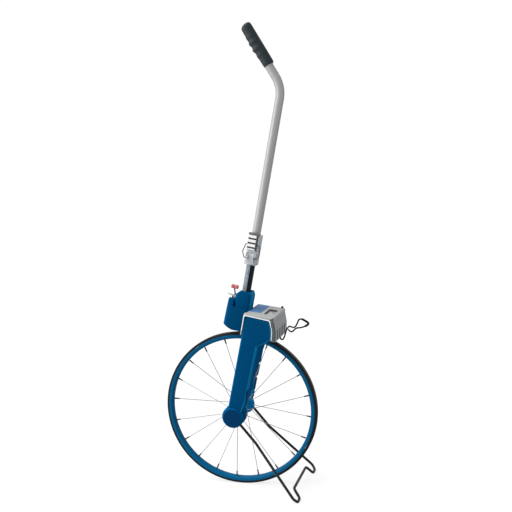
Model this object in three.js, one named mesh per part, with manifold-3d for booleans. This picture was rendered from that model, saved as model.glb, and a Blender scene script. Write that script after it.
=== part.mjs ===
// Measuring wheel: a spoked wheel in a one-piece-per-side fork, with a belt-driven counter,
// a folding mast with a draw latch, a folding rod stand and a wheel brake.
// Millimetres, +Z up, +X forward; the origin is on the ground under the axle.

import * as THREE from 'three';
import { mergeVertices } from 'three/addons/utils/BufferGeometryUtils.js';
import Module from 'manifold-3d';

const wasm = await Module();
wasm.setup();

// ---------- driving dimensions ----------
const GAP = 0.3;                    // clearance kept between touching pieces
const FORK_TILT = 11.02;            // degrees the fork leans forward

const TYRE_RADIUS = 199;            // 1.25 m round
const TYRE_DEPTH = 6.5;
const TYRE_HALF_WIDTH = 9;
const RIM_HALF_WIDTH = 10;
const RIM_DEPTH = 10;
const RIM_WALL = 2.2;
const RIM_OUTER = TYRE_RADIUS - TYRE_DEPTH - GAP;
const RIM_INNER = RIM_OUTER - RIM_DEPTH;
const SPOKE_COUNT = 20;
const SPOKE_RADIUS = 1;
const SPOKE_FIRST_ANGLE = 4.8;      // degrees from straight up, towards the front
const NIPPLE_RADIUS = 2;
const NIPPLE_LENGTH = 12;
const FLANGE_RADIUS = 25;
const FLANGE_HALF_SPAN = 38.5;      // hub centre to flange middle
const HUB_HALF_LENGTH = 39.9;
const FLANGE_THICKNESS = 2.5;
const SPOKE_CIRCLE = 21.5;          // radius of the spoke holes in the flanges
const AXLE_RADIUS = 4;

const BOSS_RADIUS = 28;             // round lower end of the near leg
const LEG_WALL = 3;
const LEG_INNER_Y = -53;            // open inner edge of the near leg housing
const LEG_FACE_Y_AT_HUB = -90;      // its outer face leans in towards the top
const LEG_FACE_Y_AT_HEAD = -74;
const HEAD_TOP = 256.5;
const FAR_LEG_Y = 42;
const FAR_LEG_THICKNESS = 9;

const BOX_NEAR_Y = -75.5;           // counter housing
const BOX_FAR_Y = 60.5;
const BOX_WALL = 3.2;
const BOX_BOTTOM = 208;
const BOX_TOP = 263.6;               // at the rear; the top climbs forwards
const BOX_TOP_FRONT = 267.1;
const COVER_SPLIT = 255;
const WINDOW = { u0: 24.5, u1: 46.5, y0: -42, y1: 17, floor: 264.4 };
const BUTTON = { u: 49, y: 53, radius: 3.2, top: 272.5 };
const DRUM_RADIUS = 20;
const DRUM_WIDTH = 13;
const DRUM_AXIS = { u: 25.5, w: 240.5 };

const BELT_Y = -57.5;
const BELT_WIDTH = 7;
const PULLEY_RADIUS = 10.5;
const BELT_THICKNESS = 1.3;
const SLEEVE_RADIUS = 8;            // hub sleeve that carries the drive pulley
const BEARING_RADIUS = 11;
const BEARING_WIDTH = 8;

const MAST_U = -39.4;               // mast axis, behind the wheel's axle
const MAST_RADIUS = 11;
const MAST_WALL = 1.5;
const SOCKET_TOP = 303;
const SOCKET_SPLIT = 262;
const MAST_FOOT = 236;
const BRAKE_PIVOT = { u: -67, w: 252 };
const CATCH = { u: -58, w: 285.5 };     // pivot of the small release lever
const SLEEVE_BOTTOM = 373;
const FOLD_W = 410;                 // height of the mast's fold axis up the fork
const FOLD_Y = 22.5;
const SLEEVE_TOP = 448;
const LATCH = { y: -20.6, w: 399 };     // pivot of the draw latch's lever
const BAIL = { y: -24.2, w: 391 };      // pivot of its wire bail, on the lever
const SLEEVE_HALF = 16.5;
const BEND_W = 818;                 // where the two straight stretches of the mast would meet
const BEND_ANGLE = 42;
const BEND_RADIUS = 78;
const GRIP_START = 61;              // along the handle from that meeting point
const GRIP_END = 178;
const TUBE_END = 163;

const STAND_ANGLE = -38.28;         // degrees from the fork's own forward axis
const STAND_ROD = 3.4;              // rod radius
const STAND_NEAR_Y = -80;
const STAND_FAR_Y = 65;
const STAND_SPLAY_START = 87;
const STAND_CROSSBAR = { s: 232, y: 79 };   // s runs down the leg from the axle
const STAND_WIDEST = { s: 244, y: 125.5 };
const STAND_TOE = { s: 257.8, inner: 90, outer: 117 };
const STAND_SWING = 105;

const CLIP_WIRE = 1.55;
const CLIP_STEP = 1.9;              // sideways step where the wire crosses itself
const CLIP_PIVOT = { u: 63, w: 200.5 };

const RAD = Math.PI / 180;

// ---------- materials ----------
function material(name, color, roughness, metalness) {
  return new THREE.MeshStandardMaterial({ name, color, roughness, metalness });
}
const BLUE = material('blue_shell', 0x00568c, 0.4, 0);
const NAVY = material('navy_cap', 0x013763, 0.4, 0);
const RIM_BLUE = material('blue_rim', 0x00609a, 0.35, 0);
const RUBBER = material('tyre_rubber', 0x22272a, 0.8, 0);
const STEEL = material('bright_steel', 0xb4b7ba, 0.3, 1);
const BOX_GREY = material('box_grey', 0x8f9497, 0.5, 0);
const COVER_GREY = material('cover_grey', 0xb8bcbd, 0.5, 0);
const LENS = material('window_lens', 0xdfe6e8, 0.1, 0);
const DRUM_WHITE = material('drum_white', 0xe6e4dc, 0.5, 0);
const BLACK_TUBE = material('black_tube', 0x1c2226, 0.25, 0.2);
const MAST_GREY = material('mast_grey', 0xa5a3a8, 0.4, 0.6);
const LATCH_GREY = material('latch_grey', 0x9ba0a4, 0.4, 0.7);
const GRIP = material('grip_dark', 0x333f45, 0.8, 0);
const ROD_BLACK = material('rod_black', 0x232628, 0.4, 0.3);
const RED = material('red_knob', 0xc85a5f, 0.5, 0);
const DARK_RED = material('button_red', 0x6e1626, 0.4, 0);
const BELT_BLACK = material('belt_black', 0x1b1b1b, 0.8, 0);

// ---------- solids ----------
/** Merges shared corners and drops the slivers that a lathe leaves on its axis. */
function cleaned(geometry) {
  const bare = geometry.clone();
  bare.deleteAttribute('normal');
  bare.deleteAttribute('uv');
  const merged = mergeVertices(bare, 1e-4);
  const kept = [];
  const corners = merged.index.array;
  for (let i = 0; i < corners.length; i += 3) {
    const [a, b, c] = [corners[i], corners[i + 1], corners[i + 2]];
    if (a !== b && b !== c && c !== a) kept.push(a, b, c);
  }
  merged.setIndex(kept);
  return merged;
}

function toSolid(geometry) {
  const shape = cleaned(geometry);
  return new wasm.Manifold(new wasm.Mesh({
    numProp: 3,
    vertProperties: new Float32Array(shape.attributes.position.array),
    triVerts: new Uint32Array(shape.index.array),
  }));
}

function toGeometry(solid) {
  const mesh = solid.getMesh();
  const geometry = new THREE.BufferGeometry();
  geometry.setAttribute('position', new THREE.BufferAttribute(new Float32Array(mesh.vertProperties), 3));
  geometry.setIndex(new THREE.BufferAttribute(new Uint32Array(mesh.triVerts), 1));
  return geometry;
}

/** Joins `added` geometries to the first, then cuts `removed` ones away. */
function carve(base, added = [], removed = []) {
  let solid = toSolid(base);
  for (const piece of added) solid = solid.add(toSolid(piece));
  for (const piece of removed) solid = solid.subtract(toSolid(piece));
  return toGeometry(solid);
}

function common(a, b) {
  return toGeometry(toSolid(a).intersect(toSolid(b)));
}

/** Box between two corners. */
function block(x0, x1, y0, y1, z0, z1) {
  return new THREE.BoxGeometry(x1 - x0, y1 - y0, z1 - z0)
    .translate((x0 + x1) / 2, (y0 + y1) / 2, (z0 + z1) / 2);
}

/** Solid of revolution about Y through (x, z); the profile lists [radius, y] pairs. */
function turned(profile, x = 0, z = 0, sides = 32) {
  const points = profile.map(([r, y]) => new THREE.Vector2(r, y));
  return cleaned(new THREE.LatheGeometry(points, sides)).translate(x, 0, z);
}

function disc(radius, y0, y1, x = 0, z = 0, sides = 32) {
  return turned([[0, y0], [radius, y0], [radius, y1], [0, y1]], x, z, sides);
}

function ring(outer, inner, y0, y1, x = 0, z = 0, sides = 32) {
  return turned([[outer, y0], [outer, y1], [inner, y1], [inner, y0], [outer, y0]], x, z, sides);
}

/** Slab between y0 and y1 whose outline lists [x, z] pairs anticlockwise. */
function slab(outline, y0, y1) {
  const shape = new THREE.Shape(outline.map(([x, z]) => new THREE.Vector2(x, z)));
  return new THREE.ExtrudeGeometry(shape, { depth: y1 - y0, bevelEnabled: false })
    .rotateX(Math.PI / 2).translate(0, y1, 0);
}

/** Upright prism between z0 and z1 whose outline lists [x, y] pairs anticlockwise. */
function prism(outline, z0, z1) {
  const shape = new THREE.Shape(outline.map(([x, y]) => new THREE.Vector2(x, y)));
  return new THREE.ExtrudeGeometry(shape, { depth: z1 - z0, bevelEnabled: false }).translate(0, 0, z0);
}

/** Upright tube or rod about the line (x, y). */
function column(outer, inner, x, y, z0, z1, sides = 24) {
  const geometry = inner > 0
    ? ring(outer, inner, z0, z1, 0, 0, sides)
    : disc(outer, z0, z1, 0, 0, sides);
  return geometry.rotateX(Math.PI / 2).translate(x, y, 0);
}

/** Arc of [x, z] points about (cx, cz), angles in degrees from +X. */
function arc(cx, cz, radius, from, to, steps) {
  const points = [];
  for (let i = 0; i <= steps; i++) {
    const a = (from + (to - from) * i / steps) * RAD;
    points.push([cx + radius * Math.cos(a), cz + radius * Math.sin(a)]);
  }
  return points;
}

/** Rectangle with round corners as points, anticlockwise. */
function roundRect(x0, x1, y0, y1, radius, steps = 4) {
  return [
    ...arc(x1 - radius, y0 + radius, radius, -90, 0, steps),
    ...arc(x1 - radius, y1 - radius, radius, 0, 90, steps),
    ...arc(x0 + radius, y1 - radius, radius, 90, 180, steps),
    ...arc(x0 + radius, y0 + radius, radius, 180, 270, steps),
  ];
}

/** Straight runs through the points, with each inner corner rounded to `radius`. */
function bentPath(points, radius) {
  const path = new THREE.CurvePath();
  let start = points[0];
  for (let i = 1; i < points.length - 1; i++) {
    const into = points[i].clone().sub(points[i - 1]);
    const away = points[i + 1].clone().sub(points[i]);
    const turn = into.angleTo(away);
    const reach = Math.min(radius * Math.tan(turn / 2), into.length() * 0.49, away.length() * 0.49);
    const a = points[i].clone().addScaledVector(into.normalize(), -reach);
    const b = points[i].clone().addScaledVector(away.normalize(), reach);
    path.add(new THREE.LineCurve3(start, a));
    path.add(new THREE.QuadraticBezierCurve3(a, points[i], b));
    start = b;
  }
  path.add(new THREE.LineCurve3(start, points[points.length - 1]));
  return path;
}

/** Sweeps through a bent path, spending its steps on the bends. */
function bentBar(points, bend, radius, sides = 8, bendSteps = 5) {
  const path = bentPath(points, bend);
  const samples = [];
  path.curves.forEach((curve) => {
    const n = curve.isLineCurve3 ? 1 : bendSteps;
    for (let i = 0; i < n; i++) samples.push(curve.getPoint(i / n));
  });
  samples.push(path.curves[path.curves.length - 1].getPoint(1));
  return sweptThrough(samples, radius, sides);
}

/** Round bar through the given points, with mitred joints and flat ends. */
function sweptThrough(points, radius, sides = 8) {
  const tangentAt = (i) => {
    const before = points[Math.max(i - 1, 0)];
    const after = points[Math.min(i + 1, points.length - 1)];
    return after.clone().sub(before).normalize();
  };
  let normal = new THREE.Vector3(0, 1, 0);
  if (Math.abs(tangentAt(0).y) > 0.9) normal = new THREE.Vector3(1, 0, 0);
  return skinned(points.map((point, i) => {
    const tangent = tangentAt(i);
    normal = normal.clone().addScaledVector(tangent, -normal.dot(tangent)).normalize();
    const side = tangent.clone().cross(normal);
    return turns(sides).map((a) => point.clone().addScaledVector(normal, radius * Math.cos(a))
      .addScaledVector(side, radius * Math.sin(a)));
  }));
}

/** Equal angles right round, in radians. */
function turns(count) {
  return Array.from({ length: count }, (_, k) => 2 * Math.PI * k / count);
}

/** Closed skin through rings of equal count, with flat ends. */
function skinned(rings) {
  const sides = rings[0].length;
  const position = rings.flat().flatMap((p) => [p.x, p.y, p.z]);
  const index = [];
  for (let i = 1; i < rings.length; i++) {
    for (let k = 0; k < sides; k++) {
      const next = (k + 1) % sides;
      const [a, b] = [(i - 1) * sides + k, (i - 1) * sides + next];
      const [c, d] = [i * sides + k, i * sides + next];
      index.push(a, b, d, a, d, c);
    }
  }
  const last = (rings.length - 1) * sides;
  for (let k = 1; k < sides - 1; k++) {
    index.push(0, k + 1, k);
    index.push(last, last + k, last + k + 1);
  }
  const geometry = new THREE.BufferGeometry();
  geometry.setAttribute('position', new THREE.BufferAttribute(new Float32Array(position), 3));
  geometry.setIndex(index);
  return geometry;
}

/** Closed skin between two outlines of equal count, each point with its own y. */
function lofted(near, far) {
  const count = near.length;
  const position = [...near, ...far].flatMap(([x, y, z]) => [x, y, z]);
  const flat = (points) => points.map(([x, , z]) => new THREE.Vector2(x, z));
  const index = [];
  for (const [a, b, c] of THREE.ShapeUtils.triangulateShape(flat(near), [])) index.push(a, b, c);
  for (const [a, b, c] of THREE.ShapeUtils.triangulateShape(flat(far), [])) {
    index.push(count + c, count + b, count + a);
  }
  for (let i = 0; i < count; i++) {
    const j = (i + 1) % count;
    index.push(i, count + i, count + j, i, count + j, j);
  }
  const geometry = new THREE.BufferGeometry();
  geometry.setAttribute('position', new THREE.BufferAttribute(new Float32Array(position), 3));
  geometry.setIndex(index);
  return geometry;
}

function piece(group, name, geometry, finish) {
  const mesh = new THREE.Mesh(geometry, finish);
  mesh.name = name;
  group.add(mesh);
  return mesh;
}

// ---------- wheel, about its own centre ----------
function tyre() {
  const seat = TYRE_RADIUS - TYRE_DEPTH;
  return turned([
    [seat, -TYRE_HALF_WIDTH], [TYRE_RADIUS - 2.4, -TYRE_HALF_WIDTH],
    [TYRE_RADIUS - 0.5, -TYRE_HALF_WIDTH + 2], [TYRE_RADIUS, -TYRE_HALF_WIDTH + 4.5],
    [TYRE_RADIUS, TYRE_HALF_WIDTH - 4.5], [TYRE_RADIUS - 0.5, TYRE_HALF_WIDTH - 2],
    [TYRE_RADIUS - 2.4, TYRE_HALF_WIDTH], [seat, TYRE_HALF_WIDTH], [seat, -TYRE_HALF_WIDTH],
  ], 0, 0, 96);
}

/** A channel that is open towards the tyre, with a flat bed for the spokes. */
function rim() {
  const bed = RIM_HALF_WIDTH - 4;
  const shoulder = RIM_INNER + 4;
  const inside = RIM_HALF_WIDTH - RIM_WALL;
  return turned([
    [RIM_INNER, -bed], [shoulder, -RIM_HALF_WIDTH], [RIM_OUTER, -RIM_HALF_WIDTH],
    [RIM_OUTER, -inside], [shoulder + 1, -inside], [RIM_INNER + RIM_WALL, -bed + 1],
    [RIM_INNER + RIM_WALL, bed - 1], [shoulder + 1, inside], [RIM_OUTER, inside],
    [RIM_OUTER, RIM_HALF_WIDTH], [shoulder, RIM_HALF_WIDTH], [RIM_INNER, bed],
    [RIM_INNER, -bed],
  ], 0, 0, 96);
}

/** The hub's barrel, its two flanges and the sleeve that carries the drive pulley. */
function hubShell() {
  const half = FLANGE_THICKNESS / 2;
  const end = HUB_HALF_LENGTH;
  const bore = BEARING_RADIUS + GAP;
  return turned([
    [SLEEVE_RADIUS, -66], [SLEEVE_RADIUS, -end], [15, -end], [15, -FLANGE_HALF_SPAN - half],
    [FLANGE_RADIUS, -FLANGE_HALF_SPAN - half], [FLANGE_RADIUS, -FLANGE_HALF_SPAN + half],
    [15, -FLANGE_HALF_SPAN + half], [13.8, 0], [15, FLANGE_HALF_SPAN - half],
    [FLANGE_RADIUS, FLANGE_HALF_SPAN - half], [FLANGE_RADIUS, FLANGE_HALF_SPAN + half],
    [15, FLANGE_HALF_SPAN + half], [15, end], [bore, end], [bore, -end + 1],
    [5.4, -end + 1], [5.4, -66], [SLEEVE_RADIUS, -66],
  ]);
}

/** One radial spoke with its nipple, from inside a flange to the rim. Even ones use the near flange. */
function spoke(index) {
  const angle = (SPOKE_FIRST_ANGLE + index * 360 / SPOKE_COUNT) * RAD;
  const side = index % 2 === 0 ? -1 : 1;
  const offset = FLANGE_THICKNESS / 2 + SPOKE_RADIUS + GAP;
  const at = (radius, y) => new THREE.Vector3(radius * Math.sin(angle), side * y, radius * Math.cos(angle));
  const foot = at(SPOKE_CIRCLE, FLANGE_HALF_SPAN - offset);
  const tip = at(RIM_INNER - 1, 2);
  const length = foot.distanceTo(tip);
  const profile = [
    [0, 0], [SPOKE_RADIUS, 0], [SPOKE_RADIUS, length - NIPPLE_LENGTH],
    [NIPPLE_RADIUS, length - NIPPLE_LENGTH], [NIPPLE_RADIUS, length], [0, length],
  ];
  const bar = turned(profile, 0, 0, 6);
  const turn = new THREE.Quaternion()
    .setFromUnitVectors(new THREE.Vector3(0, 1, 0), tip.clone().sub(foot).normalize());
  return bar.applyQuaternion(turn).translate(foot.x, foot.y, foot.z);
}

function buildWheel() {
  const wheel = new THREE.Group();
  wheel.position.z = TYRE_RADIUS;
  piece(wheel, 'tyre', tyre(), RUBBER);
  piece(wheel, 'rim', rim(), RIM_BLUE);
  piece(wheel, 'hub_shell', hubShell(), STEEL);
  piece(wheel, 'drive_pulley', ring(PULLEY_RADIUS, SLEEVE_RADIUS + GAP, BELT_Y - 4, BELT_Y + 4),
    DRUM_WHITE);
  const bearingSeat = HUB_HALF_LENGTH - BEARING_WIDTH - 0.5;
  for (const [name, y] of [['bearing_near', -HUB_HALF_LENGTH + 1.5], ['bearing_far', bearingSeat]]) {
    piece(wheel, name, ring(BEARING_RADIUS, AXLE_RADIUS + GAP, y, y + BEARING_WIDTH), STEEL);
  }
  for (let i = 0; i < SPOKE_COUNT; i++) {
    piece(wheel, `spoke_${String(i + 1).padStart(2, '0')}`, spoke(i), STEEL);
  }
  return wheel;
}

// ---------- near leg: a drafted housing with a head that closes the counter box ----------
function legFaceY(w) {
  const t = THREE.MathUtils.clamp(w / HEAD_TOP, 0, 1);
  return LEG_FACE_Y_AT_HUB + (LEG_FACE_Y_AT_HEAD - LEG_FACE_Y_AT_HUB) * t;
}

/** The leg's outline, shrunk by `inset`; `flare` widens its front edge towards the head. */
function legOutline(inset, flare) {
  const r = BOSS_RADIUS - inset;
  const left = -16.5 + inset;
  const front = (w) => THREE.MathUtils.lerp(25.5, 30.5, THREE.MathUtils.clamp((w - 45) / 145, 0, 1))
    + flare * THREE.MathUtils.clamp((w - 60) / 130, 0, 1) - inset;
  const leftAngle = 180 - Math.asin(Math.sqrt(r * r - left * left) / r) / RAD;
  return [
    ...arc(0, 0, r, leftAngle, 405, 20),
    [front(45), 45], [front(85), 85], [front(125), 125], [front(165), 165], [front(188), 188],
    [46 - inset, 199 + inset], [58 - inset, 212 + inset * 0.6], [55.5 - inset, 233], [50.5 - inset, 246],
    ...arc(42 - inset, HEAD_TOP - 6 - inset, 6, 25, 90, 3),
    ...arc(left + 5, HEAD_TOP - 5 - inset, 5, 90, 180, 3),
    [left, 160], [left, 80],
  ];
}

function legLoft(inset, innerY, faceInset) {
  const near = legOutline(inset, 0).map(([u, w]) => [u, legFaceY(w) + faceInset, w]);
  const far = legOutline(inset, 10).map(([u, w]) => [u, innerY, w]);
  return lofted(near, far);
}

/** Slot that lets the stand's near rod swing inside the boss. */
function standSlot() {
  const outline = [[0, 0], ...arc(0, 0, 125, STAND_ANGLE - 12, STAND_ANGLE + STAND_SWING + 6, 10)];
  return slab(outline, STAND_NEAR_Y - STAND_ROD - 1, STAND_NEAR_Y + STAND_ROD + 1);
}

function buildNearLeg(fork) {
  const shell = legLoft(0, LEG_INNER_Y, 0);
  const hollow = legLoft(LEG_WALL, LEG_INNER_Y + 5, LEG_WALL);
  const capSeat = disc(22, -95, -80);
  piece(fork, 'near_leg_housing', carve(shell, [], [hollow, standSlot(), capSeat]), BLUE);

  const lower = legOutline(0, 10).filter(([u, w]) => w < 200 && !(u < 0 && w > 30));
  const cover = slab([...lower, [-16.5, 199]], LEG_INNER_Y + GAP, LEG_INNER_Y + 3);
  piece(fork, 'near_leg_cover', carve(cover, [], [disc(11, -60, -40)]), BLUE);
  piece(fork, 'near_hub_cap', turned([
    [0, -90.3], [24.5, -90.3], [25, -92], [24, -94.3], [22, -95], [0, -95],
  ].reverse()), NAVY);
}

// ---------- far leg ----------
function buildFarLeg(fork) {
  const y1 = FAR_LEG_Y + FAR_LEG_THICKNESS;
  const outline = [
    ...arc(0, 0, 19, 145, 395, 14), [16, 40], [15, 80], [16, 120], [18.5, 150], [22, 180],
    [24, 204.7], [-15, 204.7], [-15, 40],
  ];
  const pockets = [];
  for (let w = 38; w < 190; w += 24) pockets.push(slab([[-11, w], [11.5, w], [11.5, w + 19], [-11, w + 19]],
    FAR_LEG_Y - 1, y1 - 3));
  const notches = [[82, 12.7], [106, 13.3], [130, 14.6], [154, 16.7], [178, 19.4]]
    .map(([w, u]) => block(u, 40, FAR_LEG_Y - 1, y1 + 1, w, w + 5));
  const foot = block(-15, 24, FAR_LEG_Y, BOX_FAR_Y - BOX_WALL - 0.6, 199, 204.7);
  const boss = disc(17, FAR_LEG_Y - 1.5, 60);
  piece(fork, 'far_leg', carve(slab(outline, FAR_LEG_Y, y1), [boss, foot],
    [...pockets, ...notches, disc(AXLE_RADIUS + GAP, 30, 70)]), BLUE);
  piece(fork, 'far_hub_cap', turned([[0, 69.4], [13, 69.4], [13, 74], [9, 78], [0, 79]]), NAVY);
}

function buildAxle(fork) {
  piece(fork, 'axle', disc(AXLE_RADIUS, -84, 69, 0, 0, 24), STEEL);
  piece(fork, 'axle_nut', disc(8, -88, -84 - GAP, 0, 0, 6), STEEL);
}

// ---------- counter ----------
function boxOutline(inset) {
  return [
    [70 - inset, BOX_BOTTOM], [68.4 - inset, 221], [66.2 - inset, 235], [57 - inset, 259.5],
    ...arc(53.4 - inset, BOX_TOP_FRONT - 3.8 - inset, 3.8, 30, 87, 3),
    ...arc(-13 + inset, BOX_TOP - 5 - inset, 5, 90, 180, 3),
    [-18 + inset, BOX_BOTTOM],
  ];
}

function buildCounter(fork) {
  const rearLip = slab([[-20.5, BOX_BOTTOM], [-17, BOX_BOTTOM], [-17, 262], [-19.5, 261.3], [-20.5, 258.6]],
    BOX_NEAR_Y, BOX_NEAR_Y + 12);
  const outer = carve(slab(boxOutline(0), BOX_NEAR_Y, BOX_FAR_Y), [rearLip]);
  const inner = slab(boxOutline(BOX_WALL).map(([u, w]) => [u, w === BOX_BOTTOM ? w - 5 : w]),
    BOX_NEAR_Y + BOX_WALL, BOX_FAR_Y - BOX_WALL);
  const head = legLoft(-GAP, LEG_INNER_Y + 1, -5);
  const above = block(-40, 90, -100, 80, COVER_SPLIT, BOX_TOP + 20);
  const below = block(-40, 90, -100, 80, 150, COVER_SPLIT + GAP);
  const crownNeck = block(-19, -14, -20 - GAP, 20 + GAP, 200, 212 + GAP);
  const slots = [];
  for (let i = 0; i < 4; i++) {
    const y = -58 + i * 27;
    slots.push(slab([[67.6, 211], [90, 211], [90, 235], [64.3, 235], [66.5, 221]], y, y + 11));
  }
  piece(fork, 'counter_housing', carve(outer, [], [inner, above, head, crownNeck, ...slots]), BOX_GREY);

  const { u0, u1, y0, y1 } = WINDOW;
  const opening = block(u0 + 2, u1 - 2, y0 + 2, y1 - 2, 200, 300);
  const recess = block(u0, u1, y0, y1, WINDOW.floor, 300);
  const buttonHole = column(BUTTON.radius + 0.4, 0, BUTTON.u, BUTTON.y, 200, 300, 16);
  piece(fork, 'counter_cover', carve(outer, [], [inner, below, head, opening, recess, buttonHole]), COVER_GREY);
  piece(fork, 'window_lens', block(u0 + 2.3, u1 - 2.3, y0 + 2.3, y1 - 2.3, WINDOW.floor - 1.5, WINDOW.floor - 0.3), LENS);

  const button = column(BUTTON.radius, 0, BUTTON.u, BUTTON.y, 252, BUTTON.top, 16);
  const buttonFoot = block(BUTTON.u - 4.8, BUTTON.u + 3.2, BUTTON.y - 5, BUTTON.y + 3.7, 251, 255);
  piece(fork, 'reset_button', carve(button, [buttonFoot]), DARK_RED);

  const crown = block(-13, 58, LEG_INNER_Y + 3 + GAP, BOX_FAR_Y - BOX_WALL - 0.6, 205, 212);
  const neck = block(-18, -13, -20, 20, 205, 212);
  const clipLug = block(54, 66, 16.5, 20, 197.5, 206.5);
  const clipHole = disc(CLIP_WIRE + GAP + 0.15, 10, 30, CLIP_PIVOT.u, CLIP_PIVOT.w, 12);
  piece(fork, 'fork_crown', carve(crown, [neck, clipLug], [clipHole]), BLUE);

  const shaft = carve(disc(PULLEY_RADIUS, BELT_Y - 4, BELT_Y + 4, DRUM_AXIS.u, 0), [disc(3, BELT_Y, 40, DRUM_AXIS.u, 0)])
    .translate(0, 0, DRUM_AXIS.w);
  piece(fork, 'counter_shaft', shaft, STEEL);
  const drumNames = ['drum_tenths', 'drum_units', 'drum_tens', 'drum_hundreds'];
  drumNames.forEach((name, i) => {
    const near = WINDOW.y0 + 3 + i * (DRUM_WIDTH + 0.8);
    piece(fork, name, ring(DRUM_RADIUS, 3 + GAP, near, near + DRUM_WIDTH, DRUM_AXIS.u, DRUM_AXIS.w, 40), DRUM_WHITE);
  });
}

/** Closed belt round the hub pulley and the counter pulley. */
function buildBelt(fork) {
  const lean = Math.atan2(DRUM_AXIS.u, DRUM_AXIS.w) / RAD;
  const loop = (r) => [
    ...arc(0, 0, r, -180 - lean, -lean, 12),
    ...arc(DRUM_AXIS.u, DRUM_AXIS.w, r, -lean, 180 - lean, 12),
  ];
  const outside = slab(loop(PULLEY_RADIUS + GAP + BELT_THICKNESS), BELT_Y - BELT_WIDTH / 2, BELT_Y + BELT_WIDTH / 2);
  const inside = slab(loop(PULLEY_RADIUS + GAP), BELT_Y - BELT_WIDTH, BELT_Y + BELT_WIDTH);
  piece(fork, 'drive_belt', carve(outside, [], [inside]), BELT_BLACK);
}

// ---------- rear bracket with the brake ----------
function buildBracket(fork) {
  const mastHole = column(MAST_RADIUS + GAP, 0, MAST_U, 0, MAST_FOOT - GAP, 400);
  const shoulders = slab([[-62, 255], [-18, 255], [-18, 292.5], [-24.5, SOCKET_TOP], [-47, SOCKET_TOP],
    [-51, SOCKET_TOP - 1], [-62, 293]], -30, 30);
  const socket = common(prism(roundRect(-61.5, -18.5, -24, 24, 10), SOCKET_SPLIT + GAP, SOCKET_TOP), shoulders);
  const catchSlot = block(-63, -53, -16.5, -9.5, 279, 292);
  const catchHole = disc(1.7, -19, -7, CATCH.u, CATCH.w, 12);
  piece(fork, 'mast_socket', carve(socket, [], [mastHole, catchSlot, catchHole]), BLUE);

  const shroudSide = [
    [-80, 213], [-66, 206], [-55, 202], [-30, 203], [-18.4, 206], [-18.4, SOCKET_SPLIT],
    [-62.2, SOCKET_SPLIT], [-62.2, 277], [-66, 279], [-76, 280.5],
  ];
  const shroud = common(slab(shroudSide, -27, 27), prism(roundRect(-81, -18.4, -27, 27, 12), 190, 290));
  const leverWell = prism(roundRect(-77.5, -62.4, -8, 8, 2), 240, 300);
  const shoeWell = block(-56.5, -24.5, -9.5, 9.5, 190, 222);
  piece(fork, 'bracket_shroud', carve(shroud, [], [mastHole, leverWell, shoeWell]), BLUE);

  const shoe = block(-53, -28, -8, 8, 203, 214);
  piece(fork, 'brake_shoe', carve(shoe, [column(3, 0, -40, 0, 213, 219, 12)], [disc(204.6, -20, 20, 0, 0, 96)]), RUBBER);

  const stem = sweptThrough([new THREE.Vector3(-67, 0, 247), new THREE.Vector3(-67, 0, 288),
    new THREE.Vector3(-66, -14, 299), new THREE.Vector3(-66, -20, 305.8)], 2);
  piece(fork, 'brake_lever', carve(stem, [disc(4, -5, 5, BRAKE_PIVOT.u, BRAKE_PIVOT.w, 16)]), STEEL);
  const knob = disc(5, -9, 9, 0, 0, 16).rotateZ(-Math.PI / 2).translate(-66, -20, 311.8);
  piece(fork, 'brake_knob', knob, RED);

  const catchArm = slab([[-60, 283], [-55.5, 284], [-55.5, 287], [-60, 288.8], [-70, 289.6], [-83, 290.8],
    [-83, 288.6], [-72, 287]], -16, -10);
  piece(fork, 'release_lever', carve(catchArm, [disc(1.3, -18.7, -7.3, CATCH.u, CATCH.w, 12)]), STEEL);
}

// ---------- mast ----------
function buildLowerMast(fork) {
  piece(fork, 'mast_lower_tube', column(MAST_RADIUS, MAST_RADIUS - MAST_WALL, MAST_U, 0, MAST_FOOT, 400), BLACK_TUBE);
  const h = SLEEVE_HALF;
  const outline = roundRect(MAST_U - h, MAST_U + h, -h, h, 9);
  const split = FOLD_W - GAP;
  const body = prism(outline, SLEEVE_BOTTOM, split);
  const bore = column(MAST_RADIUS + GAP, 0, MAST_U, 0, 300, 401);
  const knuckles = [-13, 8].map((u) => hingeKnuckle(u, u + 5, -8, -0.3));
  const ears = [-1, 1].map((side) => block(MAST_U + side * 11.6 - 1.4, MAST_U + side * 11.6 + 1.4,
    LATCH.y - 3.4, -SLEEVE_HALF + 3, LATCH.w - 4.5, LATCH.w + 4.5));
  const latchHole = alongU(disc(1.7, -20, 20, 0, 0, 12), LATCH.y, LATCH.w);
  piece(fork, 'lower_sleeve', carve(body, [...knuckles, ...ears], [bore, pinHole(), latchHole]), LATCH_GREY);
  piece(fork, 'fold_pin', alongU(disc(2, -13.5, 13.5, 0, 0, 16), FOLD_Y, FOLD_W), STEEL);
}

/** Turns a Y-axis solid to lie across the mast's front and puts it at (y, w). */
function alongU(geometry, y, w) {
  return geometry.rotateZ(-Math.PI / 2).translate(MAST_U, y, w);
}

function pinHole() {
  return alongU(disc(2.3, -30, 30, 0, 0, 16), FOLD_Y, FOLD_W);
}

/** Half of the fold hinge: an eye about the pin with a web back to the sleeve. */
function hingeKnuckle(u0, u1, w0, w1) {
  const eye = alongU(disc(5, u0, u1, 0, 0, 16), FOLD_Y, FOLD_W);
  const web = block(MAST_U + u0, MAST_U + u1, SLEEVE_HALF - 3, FOLD_Y, FOLD_W + w0, FOLD_W + w1);
  return carve(eye, [web]);
}

/** Centre line of the upper tube: straight, one bend backwards, straight to the grip. */
function handlePoint(along, off = 0) {
  const a = BEND_ANGLE * RAD;
  return new THREE.Vector3(MAST_U - along * Math.sin(a) + off * Math.cos(a), 0,
    BEND_W + along * Math.cos(a) + off * Math.sin(a));
}

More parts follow.
